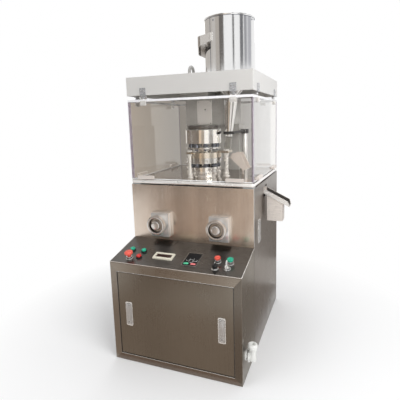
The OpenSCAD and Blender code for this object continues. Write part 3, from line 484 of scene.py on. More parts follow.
def piece(bm, name, mat, body="frame", hides=()):
    """Turns a drawing in millimetres into a piece that rides on a body."""
    bmesh.ops.remove_doubles(bm, verts=bm.verts[:], dist=0.001)
    bmesh.ops.recalc_face_normals(bm, faces=bm.faces[:])
    bmesh.ops.scale(bm, vec=(MM, MM, MM), verts=bm.verts[:])
    for f in bm.faces:
        f.smooth = True
    for e in bm.edges:
        e.smooth = len(e.link_faces) == 2 and e.calc_face_angle(0.0) < SHARP
    made = place_mesh(bm, name, mat)
    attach(made, body)
    if hides:
        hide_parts(*hides)


def dress(mat, width, *names, segments=2):
    """Gives CAD nodes a finish and small rounded edges."""
    for name in names:
        node = nodes[name]
        node.data.materials.clear()
        node.data.materials.append(mat)
        node.data.polygons.foreach_set("use_smooth", [True] * len(node.data.polygons))
        weld = node.modifiers.new("weld", "WELD")
        weld.merge_threshold = 10 * MICRON
        bevel = node.modifiers.new("edges", "BEVEL")
        bevel.limit_method = "ANGLE"
        bevel.angle_limit = BEVEL_FROM
        bevel.width = width * MM
        bevel.segments = segments
        bevel.use_clamp_overlap = True
        shade = node.modifiers.new("shade", "WEIGHTED_NORMAL")
        shade.weight = 80
        shade.keep_sharp = False


# Finishes of the CAD nodes that stay

dress(PANEL, 1.2, "front_panel")
dress(SIDE, 1.0, "left_side_panel", "right_side_panel", "rear_panel")
dress(CABINET, 1.2, "cabinet_shell")
dress(CABINET, 0.9, "front_door")
dress(CONSOLE, 1.2, "console_panel")
dress(DECK, 2.0, "deck")
dress(COVER, 2.5, "top_cover", segments=3)
dress(FRAME, 1.0, "base_frame")
dress(HEAD, 2.0, "head_frame")
dress(CASTING, 2.0, "gear_case")
dress(DRUM, 1.0, "upper_cam_drum", "lower_cam_housing")
dress(POLISHED, 1.0, "turret", "dies", "main_shaft")
dress(TOOL, 0.6, "upper_punches", "lower_punches")
dress(BRASS, 0.8, "feed_frame")
dress(BRONZE, 0.5, "worm_wheel", "fill_nut", "pressure_nut")
dress(POLISHED, 0.4, "worm_shaft", "upper_roller", "lower_roller")
dress(CASTING, 1.0, "drive_pulley", "motor_pulley")
dress(RUBBER, 0.8, "drive_belt")
dress(MOTOR, 1.5, "motor")
dress(OFFWHITE, 0.6, "inner_chute")
dress(ZINC, 0.7, "discharge_chute")
dress(HINGE, 0.8, "hinge_plates")
dress(ACRYLIC, 0.8, "front_window", "left_window", "right_window", "rear_window")


# Hopper with its rolled rim, seam and leaning spout

HOPPER_R, HOPPER_TOP, OUTLET_Z = 124.0, 1625.0, 1266.0
FLANGE_R, BORE_R = HOPPER_R + 9, HOPPER_R - 3


def on_hopper(angle, z, proud=0.0):
    """A place on the hopper's wall, with local z pointing out of it."""
    out = level(angle)
    return facing(*(HOPPER + out * (HOPPER_R + proud) + Vector((0, 0, z))), out)


bm = bmesh.new()
turn(bm, [(34, OUTLET_Z - 4), (39, OUTLET_Z - 4), (HOPPER_R, COVER_TOP - 4), (HOPPER_R, COVER_TOP),
          (FLANGE_R - 1, COVER_TOP), (FLANGE_R, COVER_TOP + 1), (FLANGE_R, COVER_TOP + 2.4),
          (FLANGE_R - 1, COVER_TOP + 3), (HOPPER_R + 3, COVER_TOP + 3), (HOPPER_R + 1, COVER_TOP + 4),
          (HOPPER_R, COVER_TOP + 6.5), (HOPPER_R, COVER_TOP + 8), (HOPPER_R, HOPPER_TOP - 7.5),
          (HOPPER_R, HOPPER_TOP - 6), (HOPPER_R + 0.8, HOPPER_TOP - 4.5),
          (HOPPER_R + 1.3, HOPPER_TOP - 2.5), (HOPPER_R + 1, HOPPER_TOP - 0.6),
          (HOPPER_R - 0.2, HOPPER_TOP + 0.3), (HOPPER_R - 1.8, HOPPER_TOP),
          (BORE_R, HOPPER_TOP - 1.5), (BORE_R, COVER_TOP - 3)], at(*HOPPER), 128, loop=True)
piece(bm, "hopper_body", CHROME, hides=("hopper",))

SPOUT_TIP = Vector((136.0, 37.5, 1056.0))
spout = HOPPER + Vector((0, 0, OUTLET_Z)) - SPOUT_TIP
bm = bmesh.new()
turn(bm, [(15, -0.5), (17.5, -0.8), (18.6, 0.4), (18.4, 3), (18, 6), (39, spout.length - 6),
          (38.8, spout.length), (36, spout.length), (15, 4)], facing(*SPOUT_TIP, spout), 72, loop=True)
piece(bm, "hopper_spout", CHROME)

bm = bmesh.new()
for angle, z in ((-112, 1602), (-15, 1606), (-2, 1611), (-9, 1372), (88, 1606), (88, 1372), (178, 1606)):
    turn(bm, [(3.6, -0.5), (3.4, 0.8), (2.4, 1.6), (0, 1.9)], on_hopper(angle, z), 16)
piece(bm, "hopper_rivets", TOOL)

bm = bmesh.new()
low, high = HOPPER_TOP - 10, HOPPER_TOP - 7.6
turn(bm, [(HOPPER_R - 0.5, low), (HOPPER_R + 0.4, low), (HOPPER_R + 0.4, high), (HOPPER_R - 0.5, high)],
     at(*HOPPER), 128, loop=True)
piece(bm, "hopper_bead", TOOL)
SEAM_ANGLE = -122
bm = bmesh.new()
block(bm, (-1.5, COVER_TOP + 5, -1.0), (1.5, HOPPER_TOP - 8, 0.4), 0.2, on_hopper(SEAM_ANGLE, 0), 2)
piece(bm, "hopper_seam", TOOL)

# Strap handle: a bent plate, wider and lower at the far leg, with feet that lie on the hopper
STRAP_LOW = (1512.0, 1490.0, 1472.0, 1447.0)
STRAP_HIGH = (1550.0, 1535.0, 1530.0, 1525.0)
STRAP_T, STRAP_BEND, STRAP_TURN = 4.0, 12.0, 201.0
STRAP_HALF, STRAP_REACH = 69.0, HOPPER_R + 35 - STRAP_T / 2
strap_out, strap_side = level(STRAP_TURN), level(STRAP_TURN + 90)
strap_root = HOPPER + strap_out * (math.sqrt(HOPPER_R ** 2 - STRAP_HALF ** 2) - 2)


def strap_edges(share):
    """Lower and upper edge at a share of the way from corner 0 to corner 3."""
    k = min(int(share), 2)
    t = share - k
    return tuple(line[k] * (1 - t) + line[k + 1] * t for line in (STRAP_LOW, STRAP_HIGH))


bm = bmesh.new()
stations = [(strap_root + strap_side * STRAP_HALF, strap_side, STRAP_T, *strap_edges(0))]
for s, share, step in ((1, 0.8, 0.4), (-1, 1.9, 0.3)):
    bend = HOPPER + strap_out * (STRAP_REACH - STRAP_BEND) + strap_side * s * (STRAP_HALF - STRAP_BEND)
    for i in range(7):
        a = QUARTER * (i / 6 if s > 0 else 1 - i / 6)
        out = strap_side * s * math.cos(a) + strap_out * math.sin(a)
        stations.append((bend + out * STRAP_BEND, out, STRAP_T, *strap_edges(share + step * i / 6)))
stations.append((strap_root - strap_side * STRAP_HALF, -strap_side, STRAP_T, *strap_edges(3)))
ribbon(bm, stations)
piece(bm, "hopper_strap", STRAP, hides=("hopper_handle",))
bm = bmesh.new()
FOOT_STEP, FOOT_RIVET = 1.5, 6.0
for s, (low, high) in ((1, strap_edges(0)), (-1, strap_edges(3))):
    start = STRAP_TURN + s * math.degrees(math.asin(STRAP_HALF / HOPPER_R))
    outs = [level(start + s * FOOT_STEP * k) for k in range(-1, 8)]
    ribbon(bm, [(HOPPER + out * (HOPPER_R + 1.4), out, 2.4, low, high) for out in outs])
    for z in (low + 9, high - 9):
        turn(bm, [(3.4, 0), (3.2, 1.2), (2, 2), (0, 2.2)], on_hopper(start + s * FOOT_RIVET, z, 2.4), 16)
piece(bm, "strap_feet", BRIGHT)

# Lifting eye: ring, shoulder and collar
EYE = Vector((-75.0, 65.5, COVER_TOP))
bm = bmesh.new()
torus(bm, 28, 8, facing(EYE.x, EYE.y, EYE.z + 37, TO_RIGHT))
turn(bm, [(0, 0), (20, 0), (20, 6), (18.5, 8.5), (14, 9.5), (11, 13), (9.5, 17), (0, 17)], at(*EYE), 40)
piece(bm, "eye_bolt", CASTING, hides=("lifting_eye",))


# Head plate over the turret, its screws, drum screws, and a band of painted shade in the gap above the
# drum

PLATE_Y, PLATE_HALF, PLATE_LOW, PLATE_TOP = 49.3, 42.0, 1117.0, 1243.0
DRUM_TOP, DRUM_SCREW_R = 1092.0, 89.5
bm = bmesh.new()
block(bm, (-PLATE_HALF, PLATE_Y, PLATE_LOW), (PLATE_HALF, PLATE_Y + 3.1, PLATE_TOP), 1.0)
piece(bm, "head_plate", PLATE)
bm = bmesh.new()
screw(bm, facing(5, PLATE_Y, 1195, TO_FRONT), 4.5)
for x in (8 - PLATE_HALF, PLATE_HALF - 8):
    for z in (PLATE_LOW + 7, PLATE_TOP - 7):
        screw(bm, facing(x, PLATE_Y, z, TO_FRONT), 2.6)
for k in range(6):
    place = TURRET + level(30 + 60 * k) * DRUM_SCREW_R
    hexhead(bm, at(place.x, place.y, DRUM_TOP), 4.2, 4)
piece(bm, "head_screws", SILVER)
bm = bmesh.new()
turn(bm, [(84.1, 1094), (85.4, 1094.6), (85.4, 1113.4), (84.1, 1114)], at(*TURRET), 96, loop=True)
piece(bm, "neck_shade_band", SHADE_AND_SEAM)


# Threaded feed posts with knurled nuts; heights are from the deck

THREADS, THREAD_PITCH = 39, 3.4
NUT_LOWS, NUT_H = (12.0, 112.5, 132.5), 8.8
bm = bmesh.new()
for x, y, r in ((-38.0, -75.5, 8.0), (129.0, 12.5, 11.0)):
    where = at(x, y, DECK_Z)
    turn(bm, [(0, 0), (r + 6, 0), (r + 6, 4.5), (r + 4.8, 6), (r, 6)], where, 40)
    line = [(r - 0.3, 5)]
    for z in (6.5 + THREAD_PITCH * k for k in range(THREADS)):
        line += [(r, z), (r, z + 1.2), (r - 0.9, z + 2.0), (r - 0.9, z + 2.6)]
    turn(bm, line + [(r - 0.4, 137), (r - 2, 140), (0, 140)], where, 32)
    for low in NUT_LOWS:
        high = low + NUT_H
        turn(bm, [(r - 0.5, low), (r + 2, low), (r + 3, low + 1), (r + 3, high - 1), (r + 2, high),
                  (r - 0.5, high)], where, 72, knurl=(low + 0.5, high - 0.5, 0.8))
piece(bm, "post_stack", BRIGHT, hides=("feed_posts",))

# Translucent tube from the spout to the feed frame
TUBE_LOW, TUBE_TOP = Vector((124.0, 47.5, 987.0)), Vector((136.0, 37.5, 1050.0))
hose = TUBE_TOP - TUBE_LOW
bm = bmesh.new()
turn(bm, [(15, 0), (17, 0), (17.5, 0.6), (17.5, 30), (17.3, 34), (17.5, 38), (17.5, hose.length - 0.6),
          (17, hose.length), (15, hose.length)], facing(*TUBE_LOW, hose), 48, loop=True)
piece(bm, "feed_hose", TUBE, hides=("feed_tube",))

# Stay: bright post, black clamp arm with bolts
POST = Vector((152.0, 300.0, 0.0))
RING = Vector((137.1, 37.5, 0.0))
bm = bmesh.new()
turn(bm, [(0, 850), (22, 850), (22, 856), (20.5, 858), (17, 858), (17, 1081), (15.5, 1084), (0, 1084)],
     at(*POST), 48)
piece(bm, "stay_post", STAY, hides=("feed_support",))
bm = bmesh.new()
turn(bm, [(22.7, 1066), (28, 1066), (29, 1067), (29, 1079), (28, 1080), (22.7, 1080)], at(*RING), 56,
     loop=True)
arm_turn = math.atan2(POST.x - RING.x, POST.y - RING.y)
block(bm, (-7, 25, 1066.2), (7, 248, 1079.8), 1.2, at(*RING) @ about("Z", -arm_turn))
turn(bm, [(17.2, 1060), (22, 1060), (23, 1061), (23, 1083), (22, 1084), (17.2, 1084)], at(*POST), 48,
     loop=True)
block(bm, (POST.x - 8.5, 271, 1060.5), (POST.x + 8.5, 281, 1083.5), 1.5)
piece(bm, "stay_clamp", BLACK)
bm = bmesh.new()
for z in (1066, 1078):
    hexhead(bm, facing(POST.x + 8.5, 276, z, TO_RIGHT), 5, 4.5)
    hexhead(bm, facing(POST.x - 8.5, 276, z, TO_LEFT), 5, 4.5)
for x in (RING.x - 18, RING.x + 18):
    screw(bm, at(x, 60.5, 1079.6), 3.4)
piece(bm, "stay_bolts", SILVER)


# Windows: the way each faces, its pane's middle plane from the body's middle, half the pane's width,
# and how far its hinges and its pull bars sit from its middle

ACROSS, ALONG = (292.5, 317.5, 228.0, 232.0), (312.5, 286.0, 208.0, 190.0)
WINDOWS = {"front": (TO_FRONT, *ACROSS), "rear": (TO_REAR, *ACROSS),
           "right": (TO_RIGHT, *ALONG), "left": (TO_LEFT, *ALONG)}
PANE_LOW, PANE_TOP, PANE_SKIN = 853.0, 1247.0, 5.15
CAP_OUT, CAP_Z = 12.0, 1229.0
PLATE_OUT, PLATE_SCREW_Z = 11.5, 1288.0
PULL_OUT, PULL_Z = 5.0, 864.0


def on_window(out, plane, along, z):
    """A place on a plane before a window, at a distance along it, with local z pointing out."""
    out = Vector(out)
    side = Vector((0, 0, 1)).cross(out)
    return facing(*(MIDDLE + out * plane + side * along + Vector((0, 0, z))), out)


# Bright caps over the moving hinge halves, and the hinges' screws
for side, (out, plane, _, hinge, _) in WINDOWS.items():
    bm = bmesh.new()
    for where in (on_window(out, plane + CAP_OUT, along, CAP_Z) for along in (-hinge, hinge)):
        prism(bm, rounded(31.8, 22.8, 3), -6.6, 0.7, 1.2, where)
        for x in (-8, 8):
            screw(bm, where @ at(x, 0, 0.6), 3.0)
    piece(bm, side + "_hinge_caps", BRIGHT, side + "_window")
bm = bmesh.new()
for out, plane, _, hinge, _ in WINDOWS.values():
    for along in (-hinge - 8, -hinge + 8, hinge - 8, hinge + 8):
        screw(bm, on_window(out, plane + PLATE_OUT, along, PLATE_SCREW_Z), 3.2)
piece(bm, "hinge_screws", SILVER)

# Painted highlights on the upper and lower edges of the clear panes, and painted shade at their ends
for side, (out, plane, half, _, _) in WINDOWS.items():
    where = on_window(out, plane, 0, 0)
    end, shoulder = half + 0.15, PANE_TOP - 11
    foot, inner = PANE_LOW - 0.1, half - 2.6
    edges = ((-end, end, shoulder, PANE_TOP + 0.15), (-end, end, PANE_LOW - 0.15, PANE_LOW + 3))
    ends = ((-end, -inner, foot, shoulder), (inner, end, foot, shoulder))
    for name, mat, bars in (("_pane_edge_highlights", PANE_HIGHLIGHT, edges), ("_pane_end_shades", EDGE_SHADE, ends)):
        bm = bmesh.new()
        for a, b, low, high in bars:
            block(bm, (a, low, -PANE_SKIN), (b, high, PANE_SKIN), 0.5, where, 2)
        piece(bm, side + name, mat, side + "_window")

# Pull bars low on the panes
for side, (out, plane, _, _, pull) in WINDOWS.items():
    bm = bmesh.new()
    for where in (on_window(out, plane + PULL_OUT, along, PULL_Z) for along in (-pull, pull)):
        prism(bm, rounded(88.6, 14.6, 2.0), 0.05, 12.3, 1.6, where)
    piece(bm, side + "_pull_bars", OFFWHITE, side + "_window")


# Painted highlights and shade on edges: deck nosing, console plate edges, door opening

NOSING_MID, NOSING_OUT, NOSING_UP, DECK_CORNER = DECK_Z - 9, 1.6, 8.6, 14.0


def nosing(bm, first, last):
    """A band of the deck's rounded edge between two angles above level."""
    rings = []
    for k in range(7):
        a = math.radians(first + (last - first) * k / 6)
        out, z = NOSING_OUT * math.cos(a), NOSING_MID + NOSING_UP * math.sin(a)
        line = rounded(2 * (HALF_W + out), 2 * (HALF_D + out), DECK_CORNER + out, 8)
        rings.append([bm.verts.new((x, y + MIDDLE.y, z)) for x, y in line])
    skin(bm, rings)


# The deck's rounded edge: a painted highlight on its upper band and painted shade under it
for name, mat, first, last in (("deck_nosing", NOSING_HIGHLIGHT, -25, 90), ("deck_shadow_gap", SATIN, -90, -25)):
    bm = bmesh.new()
    nosing(bm, first, last)
    piece(bm, name, mat)

# Painted highlights along the console plate's front and side edges
bm = bmesh.new()
edge, slope_end = HALF_W + 0.5, CONSOLE_RUN / math.cos(CONSOLE_TURN) - 2.0
block(bm, (-edge, -0.5, -3.4), (edge, 1.4, 0.25), 0.3, console(0, 0), 2)
piece(bm, "console_front_highlight", SATIN)
bm = bmesh.new()
for x in (-edge, edge - 1.6):
    block(bm, (x, 0.2, -3.4), (x + 1.6, slope_end, 0.25), 0.3, console(0, 0), 2)
piece(bm, "console_edge_highlights", BRIGHT)

# Skins of the cabinet's front frame, mitred at its corners and painted with light and shade face by face:
# left, bottom, right, top of each outline
OUTER, INNER = (-318.6, 1.6, 318.6, 491.5), (-286.4, 33.6, 286.4, 451.8)
corners = [[(box[i], box[j]) for i, j in ((0, 1), (2, 1), (2, 3), (0, 3))] for box in (OUTER, INNER)]
for k, (side, rgb) in enumerate(FLANGE_SHADES.items()):
    near, far = k, (k + 1) % 4
    outline = [corners[0][near], corners[0][far], corners[1][far], corners[1][near]]
    bm = bmesh.new()
    prism(bm, outline, -0.4, 0.3, 0.2, facing(0, CAB_Y, 0, TO_FRONT), 1)
    grain = UPRIGHT if side in ("left", "right") else CROSS
    flange = steel(side + "_flange_painted_shade", rgb, 0.3, grain, (3.0, 3.0, 1.5), 0.12, 30)
    piece(bm, side + "_flange", flange)

# Painted highlights on the door opening's top and bottom edges, and painted shadow in its side gaps
bm = bmesh.new()
for z in (33.0, 450.6):
    block(bm, (-286.6, CAB_Y - 0.7, z), (286.6, CAB_Y + 1.2, z + 1.4), 0.4, steps=2)
piece(bm, "door_edge_highlights", BRIGHT)
bm = bmesh.new()
for x in (-286.8, 285.0):
    block(bm, (x, CAB_Y - 0.7, 33.5), (x + 1.8, CAB_Y + 1.2, 451.5), 0.5, steps=2)
piece(bm, "door_jamb_shadows", SHADE_AND_SEAM)

# Painted highlight on the bent edge of the front panel, and the dark seam between the cabinet and the
# right side
bm = bmesh.new()
block(bm, (HALF_W - 1.4, FRONT_Y - 0.5, 546), (HALF_W + 0.6, FRONT_Y + 1.4, 829), 0.5, steps=2)
piece(bm, "panel_edge_highlight", BRIGHT)
bm = bmesh.new()
block(bm, (HALF_W - 1.0, FRONT_Y - 1.2, 22), (HALF_W + 0.3, FRONT_Y + 0.6, 540), 0.2, steps=2)
piece(bm, "side_seam", SHADE_AND_SEAM)

# Outer chute: painted shade inside the trough, painted highlight on the near wall. Points are (x, height
# above the sloped floor)
CHUTE_Y, CHUTE_HALF, CHUTE_Z, CHUTE_SLOPE = 63.5, 35.0, 763.0, math.tan(math.radians(26.5))


def chute_sheet(bm, y, t, points):
    """A sheet of thickness t towards the rear that follows the chute's floor."""
    sheet(bm, [(x, y, CHUTE_Z - (x - HALF_W) * CHUTE_SLOPE + lift) for x, lift in points], (0, t, 0))


bm = bmesh.new()
chute_sheet(bm, CHUTE_Y - 31.8, 63.6, ((322.0, 3.0), (448.4, 3.0), (448.4, 3.4), (322.0, 3.4)))
chute_sheet(bm, CHUTE_Y + 31.4, 0.5, ((322.0, 3.4), (446.0, 3.4), (441.5, 23.4), (322.0, 23.4)))
piece(bm, "chute_painted_shade", SHADE_AND_SEAM)
bm = bmesh.new()
chute_sheet(bm, CHUTE_Y - CHUTE_HALF - 0.3, 0.4,
            ((321.5, 0.4), (449.0, 0.4), (441.6, 23.6), (321.5, 23.6)))
piece(bm, "chute_wall_highlight", BRIGHT)


# Hand knobs: belled rim, deep recess and hub

KNOB = [(0, 75.2), (17, 75), (20, 74.2), (21.6, 72.8), (22, 71), (22, 58.5), (23.2, 57.2), (33.6, 57.2),
        (35, 58.6), (35, 66.5), (36, 68.3), (37.5, 69), (46.3, 69), (47.9, 68.2), (48.5, 66.6), (48.5, 57),
        (47.6, 55), (45.6, 54), (43.2, 53.2), (42, 51), (41.2, 47), (39.4, 42), (36.8, 38), (34.8, 34),
        (34, 30), (34, 27.4), (33.2, 26.4), (12, 26.4), (12, -117), (10.5, -118), (0, -118)]
KNOB_FLOOR = [(22.05, 57.25), (22.05, 58.6), (23.2, 57.6), (33.4, 57.6), (34.0, 58.6), (34.95, 58.6),
              (34.95, 57.25)]
# The recess's outer wall is a thin dark shell of painted shade
KNOB_WALL_SHADE = [(34.95, 58.6), (33.8, 58.6), (34.2, 66), (35.4, 68.2), (36.6, 68.95), (36.4, 68.5),
             (35.2, 66.6)]
KNOB_PARTS = (("_wheel", KNOB, SATIN, "polished_steel"), ("_floor", KNOB_FLOOR, RECESS, "panel_steel"),
              ("_recess", KNOB_WALL_SHADE, RECESS_SHADE, "black_plastic"))
for name, x in (("fill", -KNOB_X), ("pressure", KNOB_X)):
    body = name + "_knob"
    for part, line, mat, slot in KNOB_PARTS:
        solid = line is KNOB
        bm = bmesh.new()
        turn(bm, line, facing(x, FRONT_Y, KNOB_Z, TO_FRONT), 96, loop=not solid)
        piece(bm, name + part, mat, body, (body,) if solid else ())
    bm = bmesh.new()
    block(bm, (x - 49.9, FRONT_Y - 25.4, 567.6), (x + 49.9, FRONT_Y - 0.2, 689.4), 3.0, steps=3)
    piece(bm, name + "_boss", BOSS)


# Flush latches: bezel on the panel, handle with its lock barrel

LATCHES = {
    "left_latch": (facing(-230, CAB_Y + 1.5, 246, TO_FRONT), "front_door"),
    "right_latch": (facing(230, CAB_Y + 1.5, 246, TO_FRONT), "front_door"),
    "side_latch": (facing(HALF_W, -85.5, 599, TO_RIGHT), "frame"),
}
for name, (where, carrier) in LATCHES.items():
    lock = where @ at(0, -38, 0)
    bm = bmesh.new()
    rim(bm, rounded(34, 118, 6), rounded(27.4, 107, 3), -0.3, 2.6, where)
    piece(bm, name + "_bezel", BRIGHT, carrier)
    bm = bmesh.new()
    prism(bm, rounded(26, 101, 2.6), 0.6, 6.2, 1.6, where @ at(0, -1, 0))
    turn(bm, [(0, 0), (3, 0), (3.4, 0.4), (3.4, 25.6), (3, 26), (0, 26)],
         where @ at(-13, 48.5, 4) @ about("Y", QUARTER), 24)
    prism(bm, rounded(17, 62, 4), 6.0, 7.2, 0.9, where @ at(0, 14, 0))
    turn(bm, [(8.6, 5.8), (8.6, 6.9), (7.9, 7.4), (6.6, 7.4), (6.2, 6.7), (0, 6.7)], lock, 32)
    piece(bm, name + "_handle", LATCH, name, (name,))
    bm = bmesh.new()
    block(bm, (-1.0, -3.6, 6.5), (1.0, 3.6, 6.95), 0.2, lock)
    piece(bm, name + "_keyway", BLACK, name)


# Controls on the console: places are (x, distance up the slope), profiles end in a stem below it

ESTOP, STOP, START, SELECT, KEY = (-237, 42), (188, 92), (247, 90), (190, 43), (244, 50)
SMALL = {"jog_button": (-258, 109), "run_button": (-195, 107), "reset_button": (-195, 57)}
STEM = [(7.6, -13), (0, -13)]

bm = bmesh.new()
for spot, r, h in ((ESTOP, 15, 12), (STOP, 13, 14), (START, 13, 14), (SELECT, 14, 5), (KEY, 13, 10)):
    turn(bm, [(9, 0), (r + 2.5, 0), (r + 2.5, 1.8), (r + 1.6, 2.6), (r, 2.8), (r, h - 1.4), (r - 1.2, h),
              (r - 3, h), (9, h - 1.5)], console(*spot), 48, loop=True)
piece(bm, "bright_bezels", SILVER, hides=("control_bezels",))
bm = bmesh.new()
for spot in SMALL.values():
    turn(bm, [(9, 0), (15, 0), (15, 2.2), (13.8, 4), (12.6, 4), (9, 3)], console(*spot), 48, loop=True)
piece(bm, "black_bezels", BLACK)

bm = bmesh.new()
turn(bm, [(0, 38), (8, 37.8), (14, 36.8), (18, 34.6), (19.7, 31.5), (20, 28.5), (19.2, 25), (16.5, 21.6),
          (13, 19.6), (8, 19)] + STEM, console(*ESTOP), 56)
piece(bm, "estop_head", ORANGE, "estop_button", ("estop_button",))
for name, spot in SMALL.items():
    mat, slot = (RED, "red_plastic") if name == "reset_button" else (GREEN, "green_plastic")
    bm = bmesh.new()
    turn(bm, [(0, 15), (5, 14.8), (9, 13.8), (11.2, 12), (12, 9.6), (12, 7.4), (11.4, 7), (7.6, 7)] + STEM,
         console(*spot), 48)
    piece(bm, name.replace("button", "lens"), mat, name, (name,))
for name, spot, mat, slot in (("stop", STOP, ORANGE, "red_plastic"),
                              ("start", START, GREEN, "green_plastic")):
    body = name + "_button"
    bm = bmesh.new()
    turn(bm, [(0, 24.6), (8, 24.8), (10.5, 25.4), (12.3, 26), (13.4, 25.4), (14, 24), (14, 19), (13.2, 18),
              (7.6, 18)] + STEM, console(*spot), 48)
    piece(bm, name + "_cap", mat, body, (body,))

where = console(*SELECT)
bm = bmesh.new()
turn(bm, [(0, 18), (10.6, 18), (11.6, 17.4), (12, 16), (12, 6.6), (11.4, 6), (7.6, 6)] + STEM, where, 48,
     knurl=(6.5, 16.5, 0.5))
block(bm, (-4, -11, 17), (4, 11, 27), 1.8, where)
piece(bm, "selector_grip", BLACK, "selector_knob", ("selector_knob",))
bm = bmesh.new()
block(bm, (-1, 1, 26.6), (1, 10.2, 27.2), 0.25, where)
piece(bm, "selector_mark", WHITE, "selector_knob")

# Key in its barrel, with a ring and a spare key that hang from its bow
where, upright = console(*KEY), about("Y", QUARTER)
bm = bmesh.new()
turn(bm, [(0, 10.5), (6, 10.5), (6.6, 10), (6.6, -9), (0, -9)], where, 32)
block(bm, (-1.2, -4, 10), (1.2, 4, 24), 0.4, where)
turn(bm, [(3, -1.4), (10, -1.4), (11, -0.7), (11, 0.7), (10, 1.4), (3, 1.4)],
     where @ at(0, 0, 33) @ upright, 40, loop=True)
torus(bm, 11.5, 0.9, where @ at(2.2, -12, 34) @ about("Z", math.radians(8)) @ upright, 48, 10)
block(bm, (1.9, -28, 3.2), (4.1, -20, 17), 0.4, where)
for z in (4, 8, 12):
    block(bm, (1.9, -20.4, z), (4.1, -18.8, z + 2), 0.2, where)
prism(bm, rounded(14, 20, 6), 1.7, 4.3, 0.5, where @ at(0, -24, 26) @ upright @ about("Z", QUARTER))
piece(bm, "key_pair", BRIGHT, "key", ("key",))

# Meter: cream bezel with a sunk dark window
METER = console(-76, 83)
bm = bmesh.new()
rim(bm, rounded(100, 50, 4), rounded(80, 26, 1.5), 0, 6, METER)
block(bm, (-41, -14, 0), (41, 14, 3.4), 0.0, METER)
piece(bm, "meter_bezel", CREAM, hides=("meter",))
bm = bmesh.new()
prism(bm, rounded(77, 21, 1.2), 3.2, 4.4, 0.4, METER @ at(0, 3, 0))
piece(bm, "meter_window", GLASS)

# Keypad: black plate with a bright edge, a small window, soft keys and two coloured ones
PAD = console(67, 85)
KEYS = ((-17, -8), (17, -8), (0, 2), (0, -18))
PLATE_LINE = rounded(68.4, 98.4, 3.4)
bm = bmesh.new()
prism(bm, PLATE_LINE, 0, 3.0, 0.8, PAD)
for x, y in KEYS:
    prism(bm, rounded(17, 8.6, 3), 2.8, 4.5, 0.9, PAD @ at(x, y, 0))
piece(bm, "keypad_plate", PAD_BLACK, hides=("keypad",))
bm = bmesh.new()
rim(bm, rounded(71.5, 101.5, 4.6), PLATE_LINE, 0, 3.2, PAD)
piece(bm, "keypad_edge", SILVER)
bm = bmesh.new()
for x, y in KEYS:
    rim(bm, rounded(19.6, 11.2, 4.2), rounded(17.2, 8.8, 3.1), 2.9, 3.3, PAD @ at(x, y, 0))
piece(bm, "keypad_outlines", WHITE)
bm = bmesh.new()
prism(bm, rounded(54, 19, 1.5), 2.8, 3.5, 0.3, PAD @ at(0, 31, 0))
piece(bm, "keypad_window", PAD_BLACK)
for name, x, mat, slot in (("start_key", -17, PALE_GREEN, "green_plastic"),
                           ("stop_key", 17, PALE_RED, "red_plastic")):
    bm = bmesh.new()
    prism(bm, rounded(24, 12, 4.8), 2.8, 4.6, 1.0, PAD @ at(x, -35, 0))
    piece(bm, name, mat)


# Cable inlet: flange, lock nut, elbow and ribbed gland nut

INLET_Y, INLET_Z, ELBOW_X = -354.5, 116.0, 350.0
bm = bmesh.new()
wall, elbow = facing(HALF_W, INLET_Y, INLET_Z, TO_RIGHT), at(ELBOW_X, INLET_Y, INLET_Z)
turn(bm, [(6, -2), (15, -2), (15, 0.2), (24, 0.2), (24, 6), (22.5, 8), (15, 8), (15, 31), (6, 31)],
     wall, 56, loop=True)
turn(bm, [(14, 14), (27.5, 14), (29, 15), (29, 18), (27.5, 19), (14, 19)], wall, 12, loop=True)
turn(bm, [(0, -20), (14, -20), (16.4, -18.6), (17, -16), (17, 33), (9, 33)], elbow, 48)
turn(bm, [(9, 32), (19, 32), (21.4, 34), (22.6, 37), (22.6, 51), (21, 55), (17.5, 57.6), (9.6, 58),
          (9, 57), (9, 13), (0, 13)], elbow, 28, knurl=(33, 56, 1.6))
piece(bm, "inlet_elbow", WHITE, hides=("cable_inlet",))


# Studio, in metres: pale floor, white surroundings, soft lamps, and cards that stand in for a room


def seen_rays(tree):
    """One where a ray comes from the camera, a reflection or a pane."""
    path = tree.nodes.new("ShaderNodeLightPath")
    seen = path.outputs["Is Camera Ray"]
    for ray in ("Is Glossy Ray", "Is Transmission Ray"):
        step = tree.nodes.new("ShaderNodeMath")
        step.operation = "MAXIMUM"
        tree.links.new(seen, step.inputs[0])
        tree.links.new(path.outputs[ray], step.inputs[1])
        seen = step.outputs[0]
    return seen


def pale_floor(name, rgb, near, far):
    """A pale floor that keeps the shadow near the press and is white further out."""
    made = Finish(name, Roughness=0.9)
    cloud = made.noise((0.7, 0.7, 0.7), detail=2.0)
    made.colour(cloud, [(0.3, tint(rgb, 0.985)), (0.7, rgb)])
    away = made.node("ShaderNodeVectorMath", operation="LENGTH")
    made.link(made.place, away.inputs[0])
    share = made.node("ShaderNodeMath", operation="MULTIPLY")
    made.link(made.spread(away.outputs["Value"], 0.0, 1.0, near, far), share.inputs[0])
    made.link(seen_rays(made.tree), share.inputs[1])
    glow = made.node("ShaderNodeEmission")
    made.give_way(share.outputs[0], glow.outputs["Emission"])
    return made.mat


bm = bmesh.new()
bmesh.ops.create_grid(bm, x_segments=2, y_segments=2, size=30)
floor = place_mesh(bm, "floor", pale_floor("floor_white", (0.93, 0.93, 0.93), 0.55, 1.25))
floor.location.z = -0.0005

